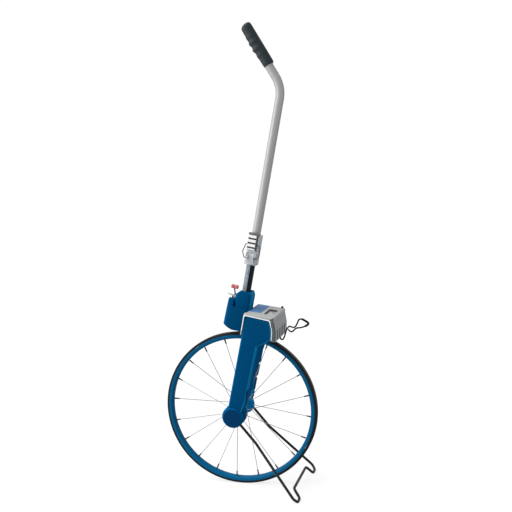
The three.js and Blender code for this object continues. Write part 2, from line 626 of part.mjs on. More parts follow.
function buildUpperMast(fork) {
  const reach = BEND_RADIUS * Math.tan(BEND_ANGLE * RAD / 2);
  const centre = new THREE.Vector2(MAST_U - BEND_RADIUS, BEND_W - reach);
  const line = [new THREE.Vector3(MAST_U, 0, 412)];
  const steps = 10;
  for (let i = 0; i <= steps; i++) {
    const a = BEND_ANGLE * RAD * i / steps;
    line.push(new THREE.Vector3(centre.x + BEND_RADIUS * Math.cos(a), 0, centre.y + BEND_RADIUS * Math.sin(a)));
  }
  line.push(handlePoint(TUBE_END));
  const outside = sweptThrough(line, MAST_RADIUS, 24);
  const extended = [line[0].clone().setZ(405), ...line.slice(1, -1), handlePoint(TUBE_END + 5)];
  const tube = carve(outside, [], [sweptThrough(extended, MAST_RADIUS - MAST_WALL, 24)]);
  piece(fork, 'mast_upper_tube', tube, MAST_GREY);

  // Each ring: distance along the handle, then its reach above and below the tube's centre line.
  const gripRings = [
    [GRIP_START, 13.6, 11.6], [63.5, 14.8, 12.2], [68, 15.7, 12.6], [84, 15.7, 13], [92, 15.7, 14.1],
    [109, 15.7, 15.8], [127, 15.7, 15.6], [143, 15.7, 14], [152, 15.7, 12.9], [165, 15.7, 12.5],
    [170, 15.2, 10.3], [174.5, 13.6, 3], [177, 11.2, -1.5], [GRIP_END, 8, -4.5],
  ].map(([along, above, below]) => turns(24).map((a) => {
    const radius = (above + below) / 2;
    return handlePoint(along, (above - below) / 2 + radius * Math.cos(a)).setY(radius * Math.sin(a));
  }));
  const gripBore = sweptThrough([handlePoint(GRIP_START - 5), handlePoint(TUBE_END + 0.5)], MAST_RADIUS + GAP, 24);
  const grip = carve(skinned(gripRings), [], [gripBore]);
  piece(fork, 'handle_grip', grip, GRIP);

  const h = SLEEVE_HALF;
  const split = FOLD_W + GAP;
  const body = prism(roundRect(MAST_U - h, MAST_U + h, -h, h, 9), split, SLEEVE_TOP);
  const bore = column(MAST_RADIUS + GAP, 0, MAST_U, 0, 411, 500);
  const knuckle = hingeKnuckle(-7.7, 7.7, 0.3, 9);
  const ribs = [];
  for (let i = 0; i < 4; i++) {
    const w = 419 + i * 9;
    ribs.push(block(MAST_U - 14, MAST_U + 7, -20.5, -12, w, w + 3.6));
  }
  piece(fork, 'upper_sleeve', carve(body, [knuckle, ...ribs], [bore, pinHole()]), LATCH_GREY);
}

function buildLatch(fork) {
  const plate = block(MAST_U - 8.6, MAST_U + 8.6, LATCH.y - 0.6, LATCH.y + 1.4, LATCH.w - 22, LATCH.w + 3);
  const curl = alongU(disc(1.7, -8.6, 8.6, 0, 0, 12), LATCH.y - 0.9, LATCH.w - 22);
  const cheeks = [-1, 1].flatMap((side) => {
    const u = MAST_U + side * 7.4;
    return [block(u - 1.2, u + 1.2, BAIL.y - 2.4, LATCH.y + 1, BAIL.w - 3, BAIL.w + 4.5),
      block(u - 1.2, u + 1.2, LATCH.y - 2.2, LATCH.y + 1, BAIL.w + 4, LATCH.w + 3)];
  });
  const trunnion = alongU(disc(1.4, -13, 13, 0, 0, 12), LATCH.y, LATCH.w);
  const bailHole = alongU(disc(1.6, -20, 20, 0, 0, 12), BAIL.y, BAIL.w);
  piece(fork, 'latch_lever', carve(plate, [curl, ...cheeks, trunnion], [bailHole]), LATCH_GREY);

  const wire = (u, y, w) => new THREE.Vector3(MAST_U + u, y, w);
  const bail = bentBar([
    wire(-5, BAIL.y, BAIL.w), wire(-16, BAIL.y, BAIL.w), wire(-22, -23.4, 405), wire(-17.5, -18.3, 424.6),
    wire(17.5, -18.3, 424.6), wire(22, -23.4, 405), wire(16, BAIL.y, BAIL.w), wire(5, BAIL.y, BAIL.w),
  ], 3, 1.2, 8, 3);
  piece(fork, 'latch_bail', bail, STEEL);
}

// ---------- stand ----------
/** Point of the stand: distance s down its leg, y across. */
function standPoint(s, y) {
  return new THREE.Vector3(s * Math.cos(STAND_ANGLE * RAD), y, s * Math.sin(STAND_ANGLE * RAD));
}

function buildStand(fork) {
  const foot = (side) => [
    standPoint(STAND_WIDEST.s, side * STAND_WIDEST.y),
    standPoint(STAND_TOE.s, side * STAND_TOE.outer),
    standPoint(STAND_TOE.s, side * STAND_TOE.inner),
    standPoint(STAND_CROSSBAR.s, side * STAND_CROSSBAR.y),
  ];
  const rod = bentBar([
    standPoint(7, STAND_NEAR_Y), standPoint(STAND_SPLAY_START, STAND_NEAR_Y), ...foot(-1),
    ...foot(1).reverse(), standPoint(STAND_SPLAY_START, STAND_FAR_Y), standPoint(7, STAND_FAR_Y),
  ], 12, STAND_ROD, 10, 4);
  const eyes = [STAND_NEAR_Y, STAND_FAR_Y].map((y) =>
    disc(9, y - STAND_ROD, y + STAND_ROD, 0, 0, 24));
  const holes = disc(AXLE_RADIUS + GAP, -120, 120, 0, 0, 24);
  piece(fork, 'stand', carve(rod, eyes, [holes]), ROD_BLACK);
}

/** Spring-wire clip that holds the folded stand. */
function buildClip(fork) {
  const p = (u, w, y = 0) => new THREE.Vector3(u, y, w);
  const step = CLIP_STEP;
  const route = new THREE.CatmullRomCurve3([
    p(CLIP_PIVOT.u, CLIP_PIVOT.w, 22), p(CLIP_PIVOT.u, CLIP_PIVOT.w, 14), p(70, 199, 4), p(75, 202), p(77.5, 211),
    p(79.5, 228), p(84.5, 237, step), p(92, 236.5, step), p(99, 239, step), p(103, 250, step), p(105.5, 259.5, 1),
    p(113, 262.5), p(122.5, 260), p(130.5, 256), p(127.5, 249.5), p(116, 242, -1.6), p(103, 237, -step),
    p(96, 227.5, -step), p(89, 226, -step), p(83.5, 230, -step),
  ], false, 'centripetal');
  const points = route.getPoints(60);
  piece(fork, 'stand_clip', sweptThrough(points, CLIP_WIRE, 6), ROD_BLACK);
}

// ---------- assembly ----------
const measuringWheel = new THREE.Group();
measuringWheel.add(buildWheel());

const fork = new THREE.Group();
fork.position.z = TYRE_RADIUS;
fork.rotation.y = FORK_TILT * RAD;
measuringWheel.add(fork);
[buildAxle, buildNearLeg, buildFarLeg, buildCounter, buildBelt, buildBracket,
  buildLowerMast, buildUpperMast, buildLatch, buildStand, buildClip].forEach((build) => build(fork));

export default measuringWheel;
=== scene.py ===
# Looks for the measuring wheel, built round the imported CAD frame.
# Lengths are in millimetres where they go into a helper, and in metres in Blender.
# "Fork" coordinates are (u forwards, y across, w up the leaning fork), from the axle.
# The near side is at -y, where the deep leg is, and the far side at +y.

import math

import bmesh
import bpy
from mathutils import Matrix, Vector


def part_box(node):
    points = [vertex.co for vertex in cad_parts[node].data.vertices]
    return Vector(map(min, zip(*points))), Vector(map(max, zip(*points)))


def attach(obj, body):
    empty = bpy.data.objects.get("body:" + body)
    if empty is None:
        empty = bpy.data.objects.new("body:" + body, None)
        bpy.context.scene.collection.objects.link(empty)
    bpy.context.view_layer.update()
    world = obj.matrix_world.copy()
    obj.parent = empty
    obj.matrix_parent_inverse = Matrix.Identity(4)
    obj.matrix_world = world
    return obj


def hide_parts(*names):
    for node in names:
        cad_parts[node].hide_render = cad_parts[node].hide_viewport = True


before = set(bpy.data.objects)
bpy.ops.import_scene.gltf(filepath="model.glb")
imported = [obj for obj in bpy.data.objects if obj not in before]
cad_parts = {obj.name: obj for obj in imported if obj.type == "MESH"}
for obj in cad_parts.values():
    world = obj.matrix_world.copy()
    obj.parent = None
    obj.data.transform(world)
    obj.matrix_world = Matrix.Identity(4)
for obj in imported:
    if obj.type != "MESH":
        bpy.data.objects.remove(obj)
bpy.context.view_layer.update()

MM = 0.001
AXLE_HEIGHT = 199.0
FORK_TILT = math.radians(11.02)
AT_AXLE = Matrix.Translation((0, 0, AXLE_HEIGHT * MM))
FORK = AT_AXLE @ Matrix.Rotation(FORK_TILT, 4, "Y")
TO_FORK = FORK.inverted()
FORWARD = FORK.to_3x3() @ Vector((1, 0, 0))
UPWARD = FORK.to_3x3() @ Vector((0, 0, 1))
MAST_U = -39.4
MAST_RADIUS = 11.0
MAST_WALL = 1.5
SHARP_EDGE = math.radians(35)


def link(obj):
    bpy.context.scene.collection.objects.link(obj)
    return obj


def aim(obj, direction):
    """Turns a light so that it shines along the direction."""
    obj.rotation_euler = Vector(direction).to_track_quat("-Z", "Y").to_euler()


# ---------- camera ----------
CAMERA_PLACE = Vector((0.62117, -2.31016, 0.90307))
CAMERA_FORWARD = Vector((-0.23972, 0.96221, -0.12917))
CAMERA_UP = Vector((-0.0134, 0.1297, 0.9915))
CAMERA_LENS = 67.29
SENSOR_WIDTH = 36


def make_camera():
    data = bpy.data.cameras.new("camera")
    data.sensor_width = SENSOR_WIDTH
    data.lens = CAMERA_LENS
    camera = link(bpy.data.objects.new("camera", data))
    forward = CAMERA_FORWARD.normalized()
    right = forward.cross(CAMERA_UP).normalized()
    up = right.cross(forward)
    turn = Matrix((right, up, -forward)).transposed().to_4x4()
    camera.matrix_world = Matrix.Translation(CAMERA_PLACE) @ turn
    bpy.context.scene.camera = camera


# ---------- light and floor ----------
LEFT_STRENGTH, RIGHT_STRENGTH, SEEN_STRENGTH = 0.85, 0.42, 1.02
FADE_START, FADE_END = -0.7, 0.8
SUN_ENERGY, SUN_SPREAD = 1.9, math.radians(50)
FLOOR_REACH, FLOOR_GREY, FLOOR_GLOW = 8.0, 0.22, 0.78


def make_world():
    """White to the eye, but the light it gives is brightest from the left and fades to the right."""
    world = bpy.data.worlds.new("studio")
    bpy.context.scene.world = world
    world.use_nodes = True
    tree = world.node_tree
    background = tree.nodes["Background"]
    background.inputs["Color"].default_value = (1, 1, 1, 1)
    direction = tree.nodes.new("ShaderNodeTexCoord")
    axes = tree.nodes.new("ShaderNodeSeparateXYZ")
    fade = tree.nodes.new("ShaderNodeMapRange")
    fade.inputs["From Min"].default_value = FADE_START
    fade.inputs["From Max"].default_value = FADE_END
    fade.inputs["To Min"].default_value = LEFT_STRENGTH
    fade.inputs["To Max"].default_value = RIGHT_STRENGTH
    seen = tree.nodes.new("ShaderNodeLightPath")
    choice = tree.nodes.new("ShaderNodeMix")
    choice.inputs["B"].default_value = SEEN_STRENGTH
    tree.links.new(direction.outputs["Generated"], axes.inputs["Vector"])
    tree.links.new(axes.outputs["X"], fade.inputs["Value"])
    tree.links.new(fade.outputs["Result"], choice.inputs["A"])
    tree.links.new(seen.outputs["Is Camera Ray"], choice.inputs["Factor"])
    tree.links.new(choice.outputs["Result"], background.inputs["Strength"])
    bpy.context.scene.view_settings.view_transform = "Standard"


def soft_light(name, place, target, size, power):
    data = bpy.data.lights.new(name, "AREA")
    data.size = size
    data.energy = power
    light = link(bpy.data.objects.new(name, data))
    light.location = place
    aim(light, Vector(target) - Vector(place))


def make_lights():
    sun = bpy.data.lights.new("overhead", "SUN")
    sun.energy = SUN_ENERGY
    sun.angle = SUN_SPREAD
    overhead = link(bpy.data.objects.new("overhead", sun))
    aim(overhead, (0.45, 0.25, -1))
    soft_light("left_softbox", place=(-2.2, -1.3, 1.1), target=(0, 0, 0.6), size=1.6, power=30)
    soft_light("right_fill", place=(1.8, -0.8, 0.9), target=(0, 0, 0.5), size=0.8, power=4)


def make_floor():
    """Pale floor that glows enough to hide its horizon, and lights nothing itself."""
    mesh = bpy.data.meshes.new("floor")
    reach = FLOOR_REACH
    corners = [(-reach, -reach, 0), (reach, -reach, 0), (reach, reach, 0), (-reach, reach, 0)]
    mesh.from_pydata(corners, [], [(0, 1, 2, 3)])
    floor = link(bpy.data.objects.new("floor", mesh))
    material = bpy.data.materials.new("pale_floor")
    material.use_nodes = True
    shader = material.node_tree.nodes["Principled BSDF"]
    shader.inputs["Base Color"].default_value = (FLOOR_GREY, FLOOR_GREY, FLOOR_GREY, 1)
    shader.inputs["Roughness"].default_value = 0.9
    shader.inputs["Specular IOR Level"].default_value = 0.0
    shader.inputs["Emission Color"].default_value = (1, 1, 1, 1)
    shader.inputs["Emission Strength"].default_value = FLOOR_GLOW
    mesh.materials.append(material)
    floor.visible_glossy = False
    floor.visible_diffuse = False


# ---------- materials ----------
def surface(name, color, roughness, metallic=0.0, coat=0.0, mottle=0.06, patch=25.0,
            grain=2500.0, relief=0.02, stretch=(1, 1, 1), rough_spread=0.08, specular=0.5):
    """Principled surface: slow colour mottling, uneven roughness and a fine grain in relief.

    patch and grain are noise scales per metre, relief is the grain's height in millimetres.
    """
    material = bpy.data.materials.new(name)
    material.use_nodes = True
    tree = material.node_tree
    shader = tree.nodes["Principled BSDF"]
    shader.inputs["Metallic"].default_value = metallic
    shader.inputs["Coat Weight"].default_value = coat
    shader.inputs["Coat Roughness"].default_value = 0.12
    shader.inputs["Specular IOR Level"].default_value = specular

    place = tree.nodes.new("ShaderNodeTexCoord")
    mapping = tree.nodes.new("ShaderNodeMapping")
    mapping.inputs["Scale"].default_value = stretch
    tree.links.new(place.outputs["Object"], mapping.inputs["Vector"])

    cloud = tree.nodes.new("ShaderNodeTexNoise")
    cloud.inputs["Scale"].default_value = patch
    cloud.inputs["Detail"].default_value = 4
    tree.links.new(mapping.outputs["Vector"], cloud.inputs["Vector"])
    blend = tree.nodes.new("ShaderNodeMix")
    blend.data_type = "RGBA"
    blend.inputs["A"].default_value = [c * (1 - mottle) for c in color] + [1]
    blend.inputs["B"].default_value = [min(c * (1 + mottle), 1) for c in color] + [1]
    tree.links.new(cloud.outputs["Fac"], blend.inputs["Factor"])
    tree.links.new(blend.outputs["Result"], shader.inputs["Base Color"])

    spread = tree.nodes.new("ShaderNodeMapRange")
    spread.inputs["From Min"].default_value = 0.3
    spread.inputs["From Max"].default_value = 0.7
    spread.inputs["To Min"].default_value = max(roughness - rough_spread, 0.02)
    spread.inputs["To Max"].default_value = min(roughness + rough_spread, 1)
    tree.links.new(cloud.outputs["Fac"], spread.inputs["Value"])
    tree.links.new(spread.outputs["Result"], shader.inputs["Roughness"])

    fine = tree.nodes.new("ShaderNodeTexNoise")
    fine.inputs["Scale"].default_value = grain
    fine.inputs["Detail"].default_value = 2
    tree.links.new(mapping.outputs["Vector"], fine.inputs["Vector"])
    bump = tree.nodes.new("ShaderNodeBump")
    bump.inputs["Distance"].default_value = relief * MM
    bump.inputs["Strength"].default_value = 0.6
    tree.links.new(fine.outputs["Fac"], bump.inputs["Height"])
    tree.links.new(bump.outputs["Normal"], shader.inputs["Normal"])
    return material


MOULDED = {"roughness": 0.5, "metallic": 0.15, "mottle": 0.05, "relief": 0.03}
BLUE = surface("moulded_blue", (0.0, 0.060, 0.165), specular=0.01, **MOULDED)
# paler copy of the moulded blue: painted highlight on edges and sides turned to the lamps, and the
# hub's blue all over
BLUE_PALE_AND_PAINTED_HIGHLIGHT = surface("moulded_blue_pale_and_painted_highlight", (0.005, 0.19, 0.42), specular=0.0, **MOULDED)
# half-lit copy of the moulded blue: painted light on faces turned towards the lamps
BLUE_PAINTED_HALF_LIGHT = surface("moulded_blue_painted_half_light", (0.0, 0.085, 0.23), specular=0.0, **MOULDED)
NAVY = surface("moulded_navy", (0.0, 0.036, 0.115), 0.5, specular=0.04, relief=0.03)
RIM_BLUE = surface("coated_rim_blue", (0.0, 0.100, 0.235), 0.4, specular=0.06, mottle=0.05)
RUBBER = surface("tyre_rubber", (0.009, 0.011, 0.013), 0.6, specular=0.15, mottle=0.25, patch=60,
                 grain=1400, relief=0.08)
# paler grey-brown, a painted sheen on the tyre's rolling surface
TREAD_PAINTED_SHEEN = surface("tyre_tread_painted_sheen", (0.085, 0.08, 0.072), 0.8, mottle=0.3, patch=90, grain=1100,
                relief=0.1)
STEEL = surface("zinc_steel", (0.55, 0.56, 0.58), 0.3, metallic=1, mottle=0.08, grain=1800)
DARK_WIRE = surface("dark_wire", (0.06, 0.06, 0.065), 0.4, metallic=0.4, mottle=0.1, grain=1500)
SPOKE = surface("drawn_spoke_wire", (0.33, 0.32, 0.34), 0.4, metallic=0.6, mottle=0.1, grain=1500)
NIPPLE = surface("dark_nipple", (0.05, 0.05, 0.06), 0.4, metallic=0.5, mottle=0.1)
BOX_FINISH = {"roughness": 0.55, "grain": 1600, "relief": 0.06}
BOX = surface("box_grey", (0.37, 0.385, 0.40), specular=0.3, mottle=0.05, **BOX_FINISH)
# darker grey, painted shade on the box's near side
BOX_PAINTED_SHADE = surface("box_shade_grey", (0.10, 0.115, 0.12), specular=0.25, mottle=0.08, **BOX_FINISH)
COVER = surface("cover_grey", (0.38, 0.39, 0.39), specular=0.3, mottle=0.05, **BOX_FINISH)
# light grey rim, coloured near white as a painted highlight along its edge
TRIM_WITH_PAINTED_HIGHLIGHT = surface("head_trim", (0.93, 0.95, 0.97), 0.45, specular=0.3, mottle=0.03)
LABEL = surface("label_blue", (0.025, 0.145, 0.36), 0.4, specular=0.2, mottle=0.08, patch=40)
SHADE = surface("recess_painted_shade", (0.012, 0.012, 0.014), 0.6, specular=0.1)
DRUM = surface("drum_white", (0.74, 0.73, 0.68), 0.45, mottle=0.04)
PANEL = surface("reading_panel", (0.5, 0.51, 0.55), 0.5, mottle=0.05)
INK = surface("digit_ink", (0.02, 0.02, 0.02), 0.5)
BELT = surface("belt_black", (0.018, 0.018, 0.018), 0.8, mottle=0.2)
RED = surface("knob_red", (0.50, 0.115, 0.13), 0.45, coat=0.1, mottle=0.08)
DARK_RED = surface("button_red", (0.14, 0.01, 0.03), 0.35, coat=0.2, mottle=0.08)
BLACK_TUBE = surface("gloss_black_tube", (0.003, 0.008, 0.013), 0.3, specular=0.25, mottle=0.3,
                     grain=380, relief=0.3)
# pale speckled colour, a painted reflection of the softbox on the black tube
TUBE_PAINTED_REFLECTION = surface("speckled_painted_reflection", (0.19, 0.24, 0.29), 0.35, mottle=1.0, patch=330, grain=300,
                  relief=0.4)
MAST = surface("satin_mast", (0.40, 0.398, 0.404), 0.45, metallic=0.2, mottle=0.05, grain=2200,
               stretch=(1, 1, 0.06))
CAST = surface("satin_casting", (0.50, 0.53, 0.56), 0.45, metallic=0.2, mottle=0.08, grain=1700,
               relief=0.06)
LADDER = surface("bright_plate", (0.90, 0.90, 0.91), 0.35, metallic=0.1, mottle=0.04)
BAR_GREY = surface("bar_grey", (0.13, 0.13, 0.135), 0.45, metallic=0.2, mottle=0.1)
GAP_SHADE = surface("gap_painted_shade", (0.035, 0.035, 0.04), 0.5, specular=0.2, mottle=0.1)
GRIP = surface("grip_rubber", (0.013, 0.024, 0.029), 0.5, specular=0.35, mottle=0.15, patch=50,
               grain=900, relief=0.1)
ROD = surface("rod_black", (0.007, 0.008, 0.009), 0.4, specular=0.3, mottle=0.15)
CLIP_BLACK = surface("clip_black", (0.004, 0.004, 0.005), 0.45, specular=0.2, mottle=0.15)


def window_glass():
    """Clear pane: mostly see-through, so that the drums under it stay lit."""
    material = surface("window_clear", (0.85, 0.88, 0.9), 0.08, mottle=0.03, rough_spread=0.03)
    material.node_tree.nodes["Principled BSDF"].inputs["Alpha"].default_value = 0.12
    return material


GLASS = window_glass()


# ---------- mesh helpers ----------
def finish_piece(obj, body, replaced=(), angle=32):
    """Smooths edges up to the angle in degrees (0 leaves them flat), and hands it to the frame."""
    if angle:
        obj.data.shade_smooth()
        obj.data.set_sharp_from_angle(angle=math.radians(angle))
    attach(obj, body)
    if replaced:
        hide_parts(*replaced)
    return obj


def mesh_object(name, points, faces, place, material):
    """The points are in millimetres, in the coordinates that place turns into the frame's."""
    mesh = bpy.data.meshes.new(name)
    mesh.from_pydata([place @ (Vector(p) * MM) for p in points], [], faces)
    builder = bmesh.new()
    builder.from_mesh(mesh)
    bmesh.ops.remove_doubles(builder, verts=builder.verts, dist=1e-7)
    bmesh.ops.recalc_face_normals(builder, faces=builder.faces)
    builder.to_mesh(mesh)
    builder.free()
    mesh.materials.append(material)
    return link(bpy.data.objects.new(name, mesh))


def make_piece(name, shape, material, body, replaced=(), angle=32, place=FORK):
    """A finished piece from one shape, given as (points, faces)."""
    return finish_piece(mesh_object(name, *shape, place, material), body, replaced, angle)


def lathe(profile, sides=64, x=0.0, z=0.0):
    """Points and faces of a solid turned about Y; the profile lists (radius, y), a closed loop."""
    points, faces = [], []
    count = len(profile)
    for k in range(sides):
        a = 2 * math.pi * k / sides
        for r, y in profile:
            points.append((x + r * math.sin(a), y, z + r * math.cos(a)))
    for k in range(sides):
        here, there = k * count, ((k + 1) % sides) * count
        for i in range(count):
            j = (i + 1) % count
            if profile[i][0] == 0 and profile[j][0] == 0:
                continue
            faces.append((here + i, here + j, there + j, there + i))
    return points, faces


def mirrored(half):
    """A (radius, y) outline with its mirror image across y = 0."""
    return half + [(r, -y) for r, y in reversed(half)]


def loft(sections, closed=False):
    """Skin through sections of equal count; flat caps unless it closes on itself."""
    points = [p for section in sections for p in section]
    count = len(sections[0])
    faces = []
    pairs = len(sections) if closed else len(sections) - 1
    for s in range(pairs):
        here, there = s * count, ((s + 1) % len(sections)) * count
        for i in range(count):
            j = (i + 1) % count
            faces.append((here + i, here + j, there + j, there + i))
    if not closed:
        faces.append(tuple(range(count)))
        last = (len(sections) - 1) * count
        faces.append(tuple(last + i for i in range(count)))
    return points, faces


def rod(points, radius, sides=16):
    """Round bar through a dense list of points; radius is a number, or a list with one for each."""
    line = [Vector(p) for p in points]
    radii = radius if isinstance(radius, list) else [radius] * len(line)
    normal = None
    sections = []
    for i, point in enumerate(line):
        along = (line[min(i + 1, len(line) - 1)] - line[max(i - 1, 0)]).normalized()
        if normal is None:
            normal = along.orthogonal()
        normal = (normal - along * normal.dot(along)).normalized()
        side = along.cross(normal)
        ring = []
        for k in range(sides):
            a = 2 * math.pi * k / sides
            ring.append(tuple(point + (normal * math.cos(a) + side * math.sin(a)) * radii[i]))
        sections.append(ring)
    return loft(sections)


def rounded_path(points, radius, steps=8, spacing=12.0):
    """Straight runs with round corners, cut into short lengths."""
    line = [Vector(p) for p in points]
    dense = [line[0]]

    def run_to(end):
        start = dense[-1]
        pieces = max(int((end - start).length / spacing), 1)
        for i in range(1, pieces + 1):
            dense.append(start.lerp(end, i / pieces))

    for i in range(1, len(line) - 1):
        into, away = line[i] - line[i - 1], line[i + 1] - line[i]
        reach = min(radius * math.tan(into.angle(away) / 2), into.length * 0.49, away.length * 0.49)
        a, b = line[i] - into.normalized() * reach, line[i] + away.normalized() * reach
        run_to(a)
        for k in range(1, steps + 1):
            t = k / steps
            dense.append(a * (1 - t) ** 2 + line[i] * 2 * t * (1 - t) + b * t * t)
    run_to(line[-1])
    return dense


def spline(points, steps=6):
    """Catmull-Rom curve through the points."""
    line = [Vector(p) for p in points]
    padded = [line[0] * 2 - line[1]] + line + [line[-1] * 2 - line[-2]]
    dense = []
    for i in range(1, len(padded) - 2):
        a, b, c, d = padded[i - 1:i + 3]
        for k in range(steps):
            t = k / steps
            dense.append(0.5 * (2 * b + (c - a) * t + (2 * a - 5 * b + 4 * c - d) * t ** 2
                                + (3 * b - a - 3 * c + d) * t ** 3))
    dense.append(line[-1])
    return dense


def arc(cx, cz, radius, start, end, steps):
    """Points along a circle, from one angle in degrees to another."""
    turn = [math.radians(start + (end - start) * i / steps) for i in range(steps + 1)]
    return [(cx + radius * math.cos(a), cz + radius * math.sin(a)) for a in turn]


def round_rect(x0, x1, y0, y1, radius, steps=8):
    return (arc(x1 - radius, y0 + radius, radius, -90, 0, steps)
            + arc(x1 - radius, y1 - radius, radius, 0, 90, steps)
            + arc(x0 + radius, y1 - radius, radius, 90, 180, steps)
            + arc(x0 + radius, y0 + radius, radius, 180, 270, steps))


def box_mesh(u0, u1, y0, y1, w0, w1):
    """Box between two fork coordinates on each axis."""
    lower = [(u0, y0, w0), (u1, y0, w0), (u1, y1, w0), (u0, y1, w0)]
    upper = [(u, y, w1) for u, y, _ in lower]
    return loft([lower, upper])


def joined(*parts):
    """One list of points and faces from several."""
    points, faces = [], []
    for some_points, some_faces in parts:
        start = len(points)
        points += list(some_points)
        faces += [tuple(start + i for i in face) for face in some_faces]
    return points, faces


def cut(obj, *cutters):
    """Subtracts closed shapes, given as (points, faces) in fork millimetres."""
    for i, shape in enumerate(cutters):
        tool = mesh_object(f"cutter_{i}", *shape, FORK, SHADE)
        change = obj.modifiers.new("cut", "BOOLEAN")
        change.operation = "DIFFERENCE"
        change.solver = "EXACT"
        change.object = tool
        apply_modifiers(obj)
        bpy.data.objects.remove(tool)
    return obj


def apply_modifiers(obj):
    """Swaps the mesh for the one its modifiers give."""
    graph = bpy.context.evaluated_depsgraph_get()
    mesh = bpy.data.meshes.new_from_object(obj.evaluated_get(graph))
    obj.modifiers.clear()
    obj.data = mesh


def bevel(obj, width, segments=3):
    """Rounds the sharp edges, to a width in millimetres."""
    builder = bmesh.new()
    builder.from_mesh(obj.data)
    bmesh.ops.remove_doubles(builder, verts=builder.verts, dist=2e-6)
    bmesh.ops.dissolve_limit(builder, angle_limit=math.radians(1), verts=builder.verts,
                             edges=builder.edges)
    sharp = [e for e in builder.edges
             if len(e.link_faces) == 2 and e.calc_face_angle(0) > SHARP_EDGE]
    bmesh.ops.bevel(builder, geom=sharp, offset=width * MM, offset_type="OFFSET", segments=segments,
                    profile=0.5, affect="EDGES", clamp_overlap=True)
    builder.to_mesh(obj.data)
    builder.free()
    return obj


def softened(node, name, material, body, width=0.6, segments=2):
    """A copy of a CAD node with rounded edges, in its place."""
    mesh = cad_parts[node].data.copy()
    mesh.materials.clear()
    mesh.materials.append(material)
    obj = bevel(link(bpy.data.objects.new(name, mesh)), width, segments)
    return finish_piece(obj, body, (node,), angle=40)


def repaint(material, *nodes):
    """Gives CAD nodes that keep their shape a worked material."""
    for node in nodes:
        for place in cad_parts[node].material_slots:
            place.material = material


def paint(obj, material, chosen):
    """Gives the faces that chosen(centre, normal) picks another material."""
    obj.data.materials.append(material)
    index = len(obj.data.materials) - 1
    for face in obj.data.polygons:
        if chosen(face.center, face.normal):
            face.material_index = index


def reach_from_axle(point):
    """Distance from the axle's line, in metres."""
    return math.hypot(point.x, point.z - AXLE_HEIGHT * MM)


def clamped(value):
    return min(max(value, 0), 1)


# ---------- wheel ----------
WHEEL_SIDES = 240
SPOKE_COUNT = 20


def make_tyre():
    """Slick tyre with three shallow grooves, and a paler painted sheen where it rolls."""
    radius, edge, groove = AXLE_HEIGHT, -9.0, 0.45
    shoulder = [(192.5, edge), (195.4, edge), (197.0, edge + 0.5), (198.1, edge + 1.4),
                (198.7, edge + 2.9), (198.95, edge + 4.0)]
    grooves = []
    for middle in (-3.2, 0.0, 3.2):
        grooves += [(radius, middle - 0.55), (radius - groove, middle - 0.3),
                    (radius - groove, middle + 0.3), (radius, middle + 0.55)]
    profile = shoulder + grooves + [(r, -y) for r, y in reversed(shoulder)]
    tyre = mesh_object("tyre_body", *lathe(profile, WHEEL_SIDES), AT_AXLE, RUBBER)
    rolling, half_width = (radius - 1.2) * MM, 6.6 * MM
    paint(tyre, TREAD_PAINTED_SHEEN, lambda centre, normal: reach_from_axle(centre) > rolling
          and abs(centre.y) < half_width)
    finish_piece(tyre, "wheel", ("tyre",), angle=50)


def make_rim():
    inner, outer, side = 182.2, 192.2, -10.0
    half = [(inner, -5.4), (inner + 0.5, -6.6), (inner + 3.0, -9.2), (inner + 4.6, side),
            (outer - 0.8, side), (outer, side + 0.7), (outer, side + 2.2), (inner + 5, side + 2.2),
            (inner + 2.2, -5)]
    make_piece("rim_body", lathe(mirrored(half), WHEEL_SIDES), RIM_BLUE, "wheel",
               ("rim",), angle=30, place=AT_AXLE)


def make_hub():
    """Waisted barrel with two spoke flanges, and the sleeve that drives the counter."""
    end, flange, edge = -39.9, -38.5, 1.25
    barrel, bore, sleeve, sleeve_bore, sleeve_end = 15.0, 11.3, 8.0, 5.4, -66
    half = [(barrel, end), (barrel, flange - edge), (24.4, flange - edge),
            (25.0, flange - edge + 0.6), (25.0, flange + edge - 0.6), (24.4, flange + edge),
            (17.5, flange + edge), (15.6, flange + edge + 1.8), (14.2, -26), (13.8, -12)]
    profile = ([(sleeve, sleeve_end), (sleeve, end)] + mirrored(half)
               + [(bore, -end), (bore, end + 1), (sleeve_bore, end + 1), (sleeve_bore, sleeve_end)])
    make_piece("hub_barrel", lathe(profile, 72), BLUE_PALE_AND_PAINTED_HIGHLIGHT, "wheel", ("hub_shell",),
               angle=30, place=AT_AXLE)


def spoke_point(angle, radius, y):
    return Vector((radius * math.sin(angle), y, radius * math.cos(angle)))


def make_spokes():
    """Wires from the flanges in turn, each ending in a nipple that reaches into the rim."""
    wires, nipples = [], []
    for i in range(SPOKE_COUNT):
        angle = math.radians(4.8 + 360 / SPOKE_COUNT * i)
        side = -1 if i % 2 == 0 else 1
        foot = spoke_point(angle, 21.5, side * 35.95)
        tip = spoke_point(angle, 181.2, side * 2)
        neck = tip.lerp(foot, 12.4 / (tip - foot).length)
        wires.append(rod([foot, foot.lerp(tip, 0.5), neck], 0.82, 10))
        length = (tip - neck).length
        steps = [(0.0, 1.25), (0.5, 1.7), (length * 0.55, 1.75), (length * 0.62, 2.0), (length, 2.0)]
        line = [neck.lerp(tip, along / length) for along, _ in steps]
        nipples.append(rod(line, [radius for _, radius in steps], 10))
    names = [f"spoke_{i:02d}" for i in range(1, SPOKE_COUNT + 1)]
    make_piece("spoke_wires", joined(*wires), SPOKE, "wheel", names, place=AT_AXLE)
    make_piece("spoke_nipples", joined(*nipples), NIPPLE, "wheel", place=AT_AXLE)


def make_wheel():
    make_tyre()
    make_rim()
    make_hub()
    make_spokes()
    repaint(STEEL, "bearing_near", "bearing_far")
    repaint(DRUM, "drive_pulley")


